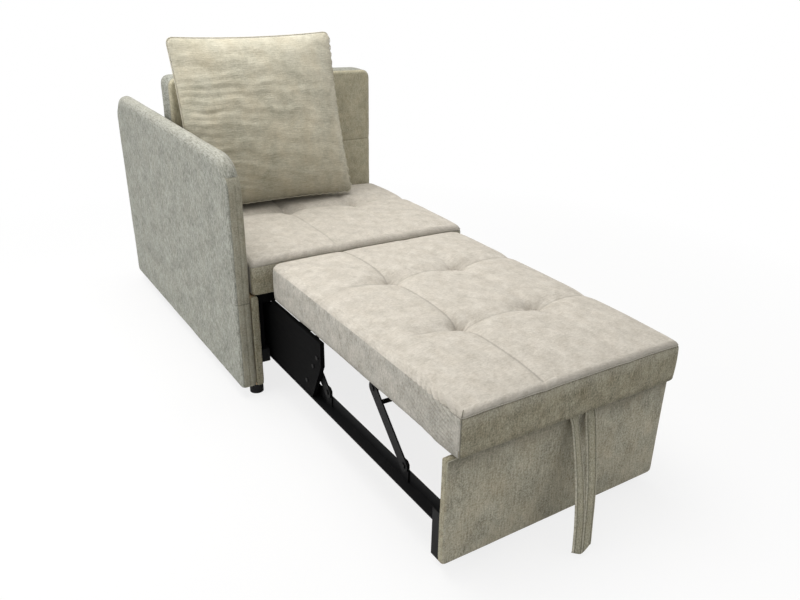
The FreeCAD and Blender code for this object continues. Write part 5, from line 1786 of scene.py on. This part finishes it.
@dataclass
class HardParts:
    """Finishes for the CAD nodes of timber, board, steel and plastic that stay as they are."""

    pine: tuple[Colour, Colour] = ((0.62, 0.47, 0.29), (0.40, 0.26, 0.13))
    black_steel: Metal = Metal("black_powder_coat", (0.0035, 0.0036, 0.004), (0.012, 0.0123, 0.013),
                               0.0, 0.55, 0.0002, 0.16)
    zinc: Metal = Metal("zinc_plate", (0.52, 0.53, 0.54), (0.72, 0.72, 0.70), 1.0, 0.34, 0.0001)

    def timber(self, node: str) -> Timber:
        """Choose the timber whose grain runs along a node's longest side.

        Args:
            node: name of the node.

        Returns:
            Its finish.
        """
        low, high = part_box(node)
        axis = max(Grain, key=lambda g: (high - low)[g.value])
        return Timber(f"timber_along_{axis.name.lower()}", *self.pine, axis)

    def dress(self) -> None:
        """Give each node that is still shown its finish by its material slot."""
        slots = {part["node"]: part["material_slot"] for part in frame["record"]["subparts"]}
        finishes = {"black_steel": self.black_steel, "zinc_steel": self.zinc, "black_plastic": BlackPlastic(),
                    "black_board": BlackBoard(), "webbing": Webbing()}
        for node, thing in frame["nodes"].items():
            kind = slots[node]
            finish = self.timber(node) if kind == "timber" else finishes.get(kind, Cloth.SIDE)
            thing.data.materials.clear()
            thing.data.materials.append(PALETTE.of(finish))
        LOG.info("finishes set on %d nodes", len(slots))


@dataclass
class Studio:
    """Floor, lamps, world and camera."""

    eye: tuple[float, float, float] = (-0.6932, -2.0233, 1.2602)   # on the drawing, in metres
    right: tuple[float, float, float] = (0.8201, -0.5705, 0.0437)
    up: tuple[float, float, float] = (0.2203, 0.3853, 0.8961)
    focal: float = 773.7      # in pixels
    middle: tuple[float, float] = (451.2, 335.9)   # where the lens looks, in pixels from the upper left
    image: tuple[int, int] = (800, 600)
    floor_half: float = 30.0  # half the floor's width
    floor_lines: int = 13
    floor_z: float = -0.0004  # just under the feet
    white_from: tuple[float, float] = (0.9, 2.4)   # from the middle, where the floor turns quite white

    def camera(self) -> None:
        """Add the camera at the photograph's place."""
        data = bpy.data.cameras.new("camera")
        data.sensor_width = 36.0
        data.lens = self.focal / self.image[0] * data.sensor_width
        data.shift_x = (self.image[0] / 2 - self.middle[0]) / self.image[0]
        data.shift_y = (self.middle[1] - self.image[1] / 2) / self.image[0]
        data.clip_end = 60.0
        camera = bpy.data.objects.new("camera", data)
        x, y = Vector(self.right).normalized(), Vector(self.up)
        z = x.cross(y).normalized()
        y = z.cross(x).normalized()
        turn = Matrix((x, y, z)).transposed().to_4x4()
        camera.matrix_world = Matrix.Translation(Vector(self.eye) + DRAWING) @ turn
        bpy.context.scene.collection.objects.link(camera)
        bpy.context.scene.camera = camera

    def lamp(self, name: str, place: Sequence[float], target: Sequence[float], size: float, power: float,
             colour: Colour = (1.0, 1.0, 1.0)) -> None:
        """Add a square soft lamp.

        Args:
            name: its name.
            place: where it hangs.
            target: where it looks.
            size: its side.
            power: in watts.
            colour: of its light.
        """
        data = bpy.data.lights.new(name, "AREA")
        data.shape, data.size, data.energy, data.color = "SQUARE", size, power, colour
        lamp = bpy.data.objects.new(name, data)
        lamp.location = place
        lamp.rotation_euler = (Vector(target) - Vector(place)).to_track_quat("-Z", "Y").to_euler()
        bpy.context.scene.collection.objects.link(lamp)

    def lights(self) -> None:
        """Add the lamps: one large above, one from the left, and a weak one from the front."""
        self.lamp("overhead", (-0.4, 0.6, 3.4), (0.0, 0.0, 0.3), 2.6, 98.0, (1.0, 0.985, 0.96))
        self.lamp("left", (-3.6, 0.2, 1.9), (0.0, 0.0, 0.4), 2.4, 46.0, (0.985, 0.99, 1.0))
        self.lamp("front", (1.2, -4.2, 1.7), (0.0, -0.4, 0.4), 2.4, 8.0)

    def world(self) -> None:
        """Set a plain pale world that the camera and reflections see as white."""
        world = bpy.data.worlds.new("studio")
        bpy.context.scene.world = world
        world.use_nodes = True
        g = Graph(world.node_tree)
        rays = g.node("ShaderNodeLightPath").socket.node.outputs
        seen = (Signal(g, rays["Is Camera Ray"]) + Signal(g, rays["Is Glossy Ray"])
                + Signal(g, rays["Is Transmission Ray"])).clamp()
        g.node("ShaderNodeOutputWorld", {}, {0: g.node("ShaderNodeBackground", {}, {
            "Color": (1.0, 1.0, 1.0, 1.0), "Strength": seen * 0.6 + 0.4})})

    def floor(self) -> None:
        """Add the floor, pale under light and white to the camera apart from the object's shadow."""
        n = self.floor_lines
        xs = np.linspace(-self.floor_half, self.floor_half, n)
        points = np.array([(x, y, self.floor_z) for x in xs for y in xs])
        faces = [(i * n + j, (i + 1) * n + j, (i + 1) * n + j + 1, i * n + j + 1)
                 for i in range(n - 1) for j in range(n - 1)]
        mesh = bpy.data.meshes.new("floor")
        mesh.from_pydata([tuple(p) for p in points], [], faces)
        material, g = new_material("pale_floor", (0.9, 0.9, 0.9))
        place = g.place()
        tone = g.blend((0.86, 0.86, 0.86), (0.9, 0.9, 0.9), g.noise(place, 3, 4))
        matt = g.node("ShaderNodeBsdfDiffuse", {}, {"Color": tone})
        white = g.node("ShaderNodeEmission", {}, {"Color": (1.0, 1.0, 1.0, 1.0), "Strength": 1.0})
        rays = g.node("ShaderNodeLightPath").socket.node.outputs
        away = g.node("ShaderNodeVectorMath", {"operation": "LENGTH"}, {0: place}, "Value")
        seen = Signal(g, rays["Is Camera Ray"]) * (g.spread(away, *self.white_from) * 0.2 + 0.8)
        mix = g.node("ShaderNodeMixShader", {}, {0: seen, 1: matt, 2: white})
        g.node("ShaderNodeOutputMaterial", {}, {0: mix})
        mesh.materials.append(material)
        floor = bpy.data.objects.new("floor", mesh)
        bpy.context.scene.collection.objects.link(floor)

    def build(self) -> None:
        """Set everything up."""
        self.camera()
        self.lights()
        self.world()
        self.floor()
        bpy.context.scene.view_settings.view_transform = "Standard"


def main() -> None:
    """Build the sub-assemblies in order and report each piece."""
    logging.basicConfig(level=logging.INFO, format="%(name)s: %(message)s")
    Studio().build()
    HardParts().dress()
    for builder in (Arm(), SeatCushion(), BackCushion(), PullOutCushion(), WrappedBoards(), SeatWebbing(),
                    PullStrap(), ThrowPillow()):
        made = builder.build()
        for piece in made if isinstance(made, list) else [made]:
            LOG.info("%s: %d faces", piece.name, len(piece.data.polygons))


if __name__ == "__main__":
    main()
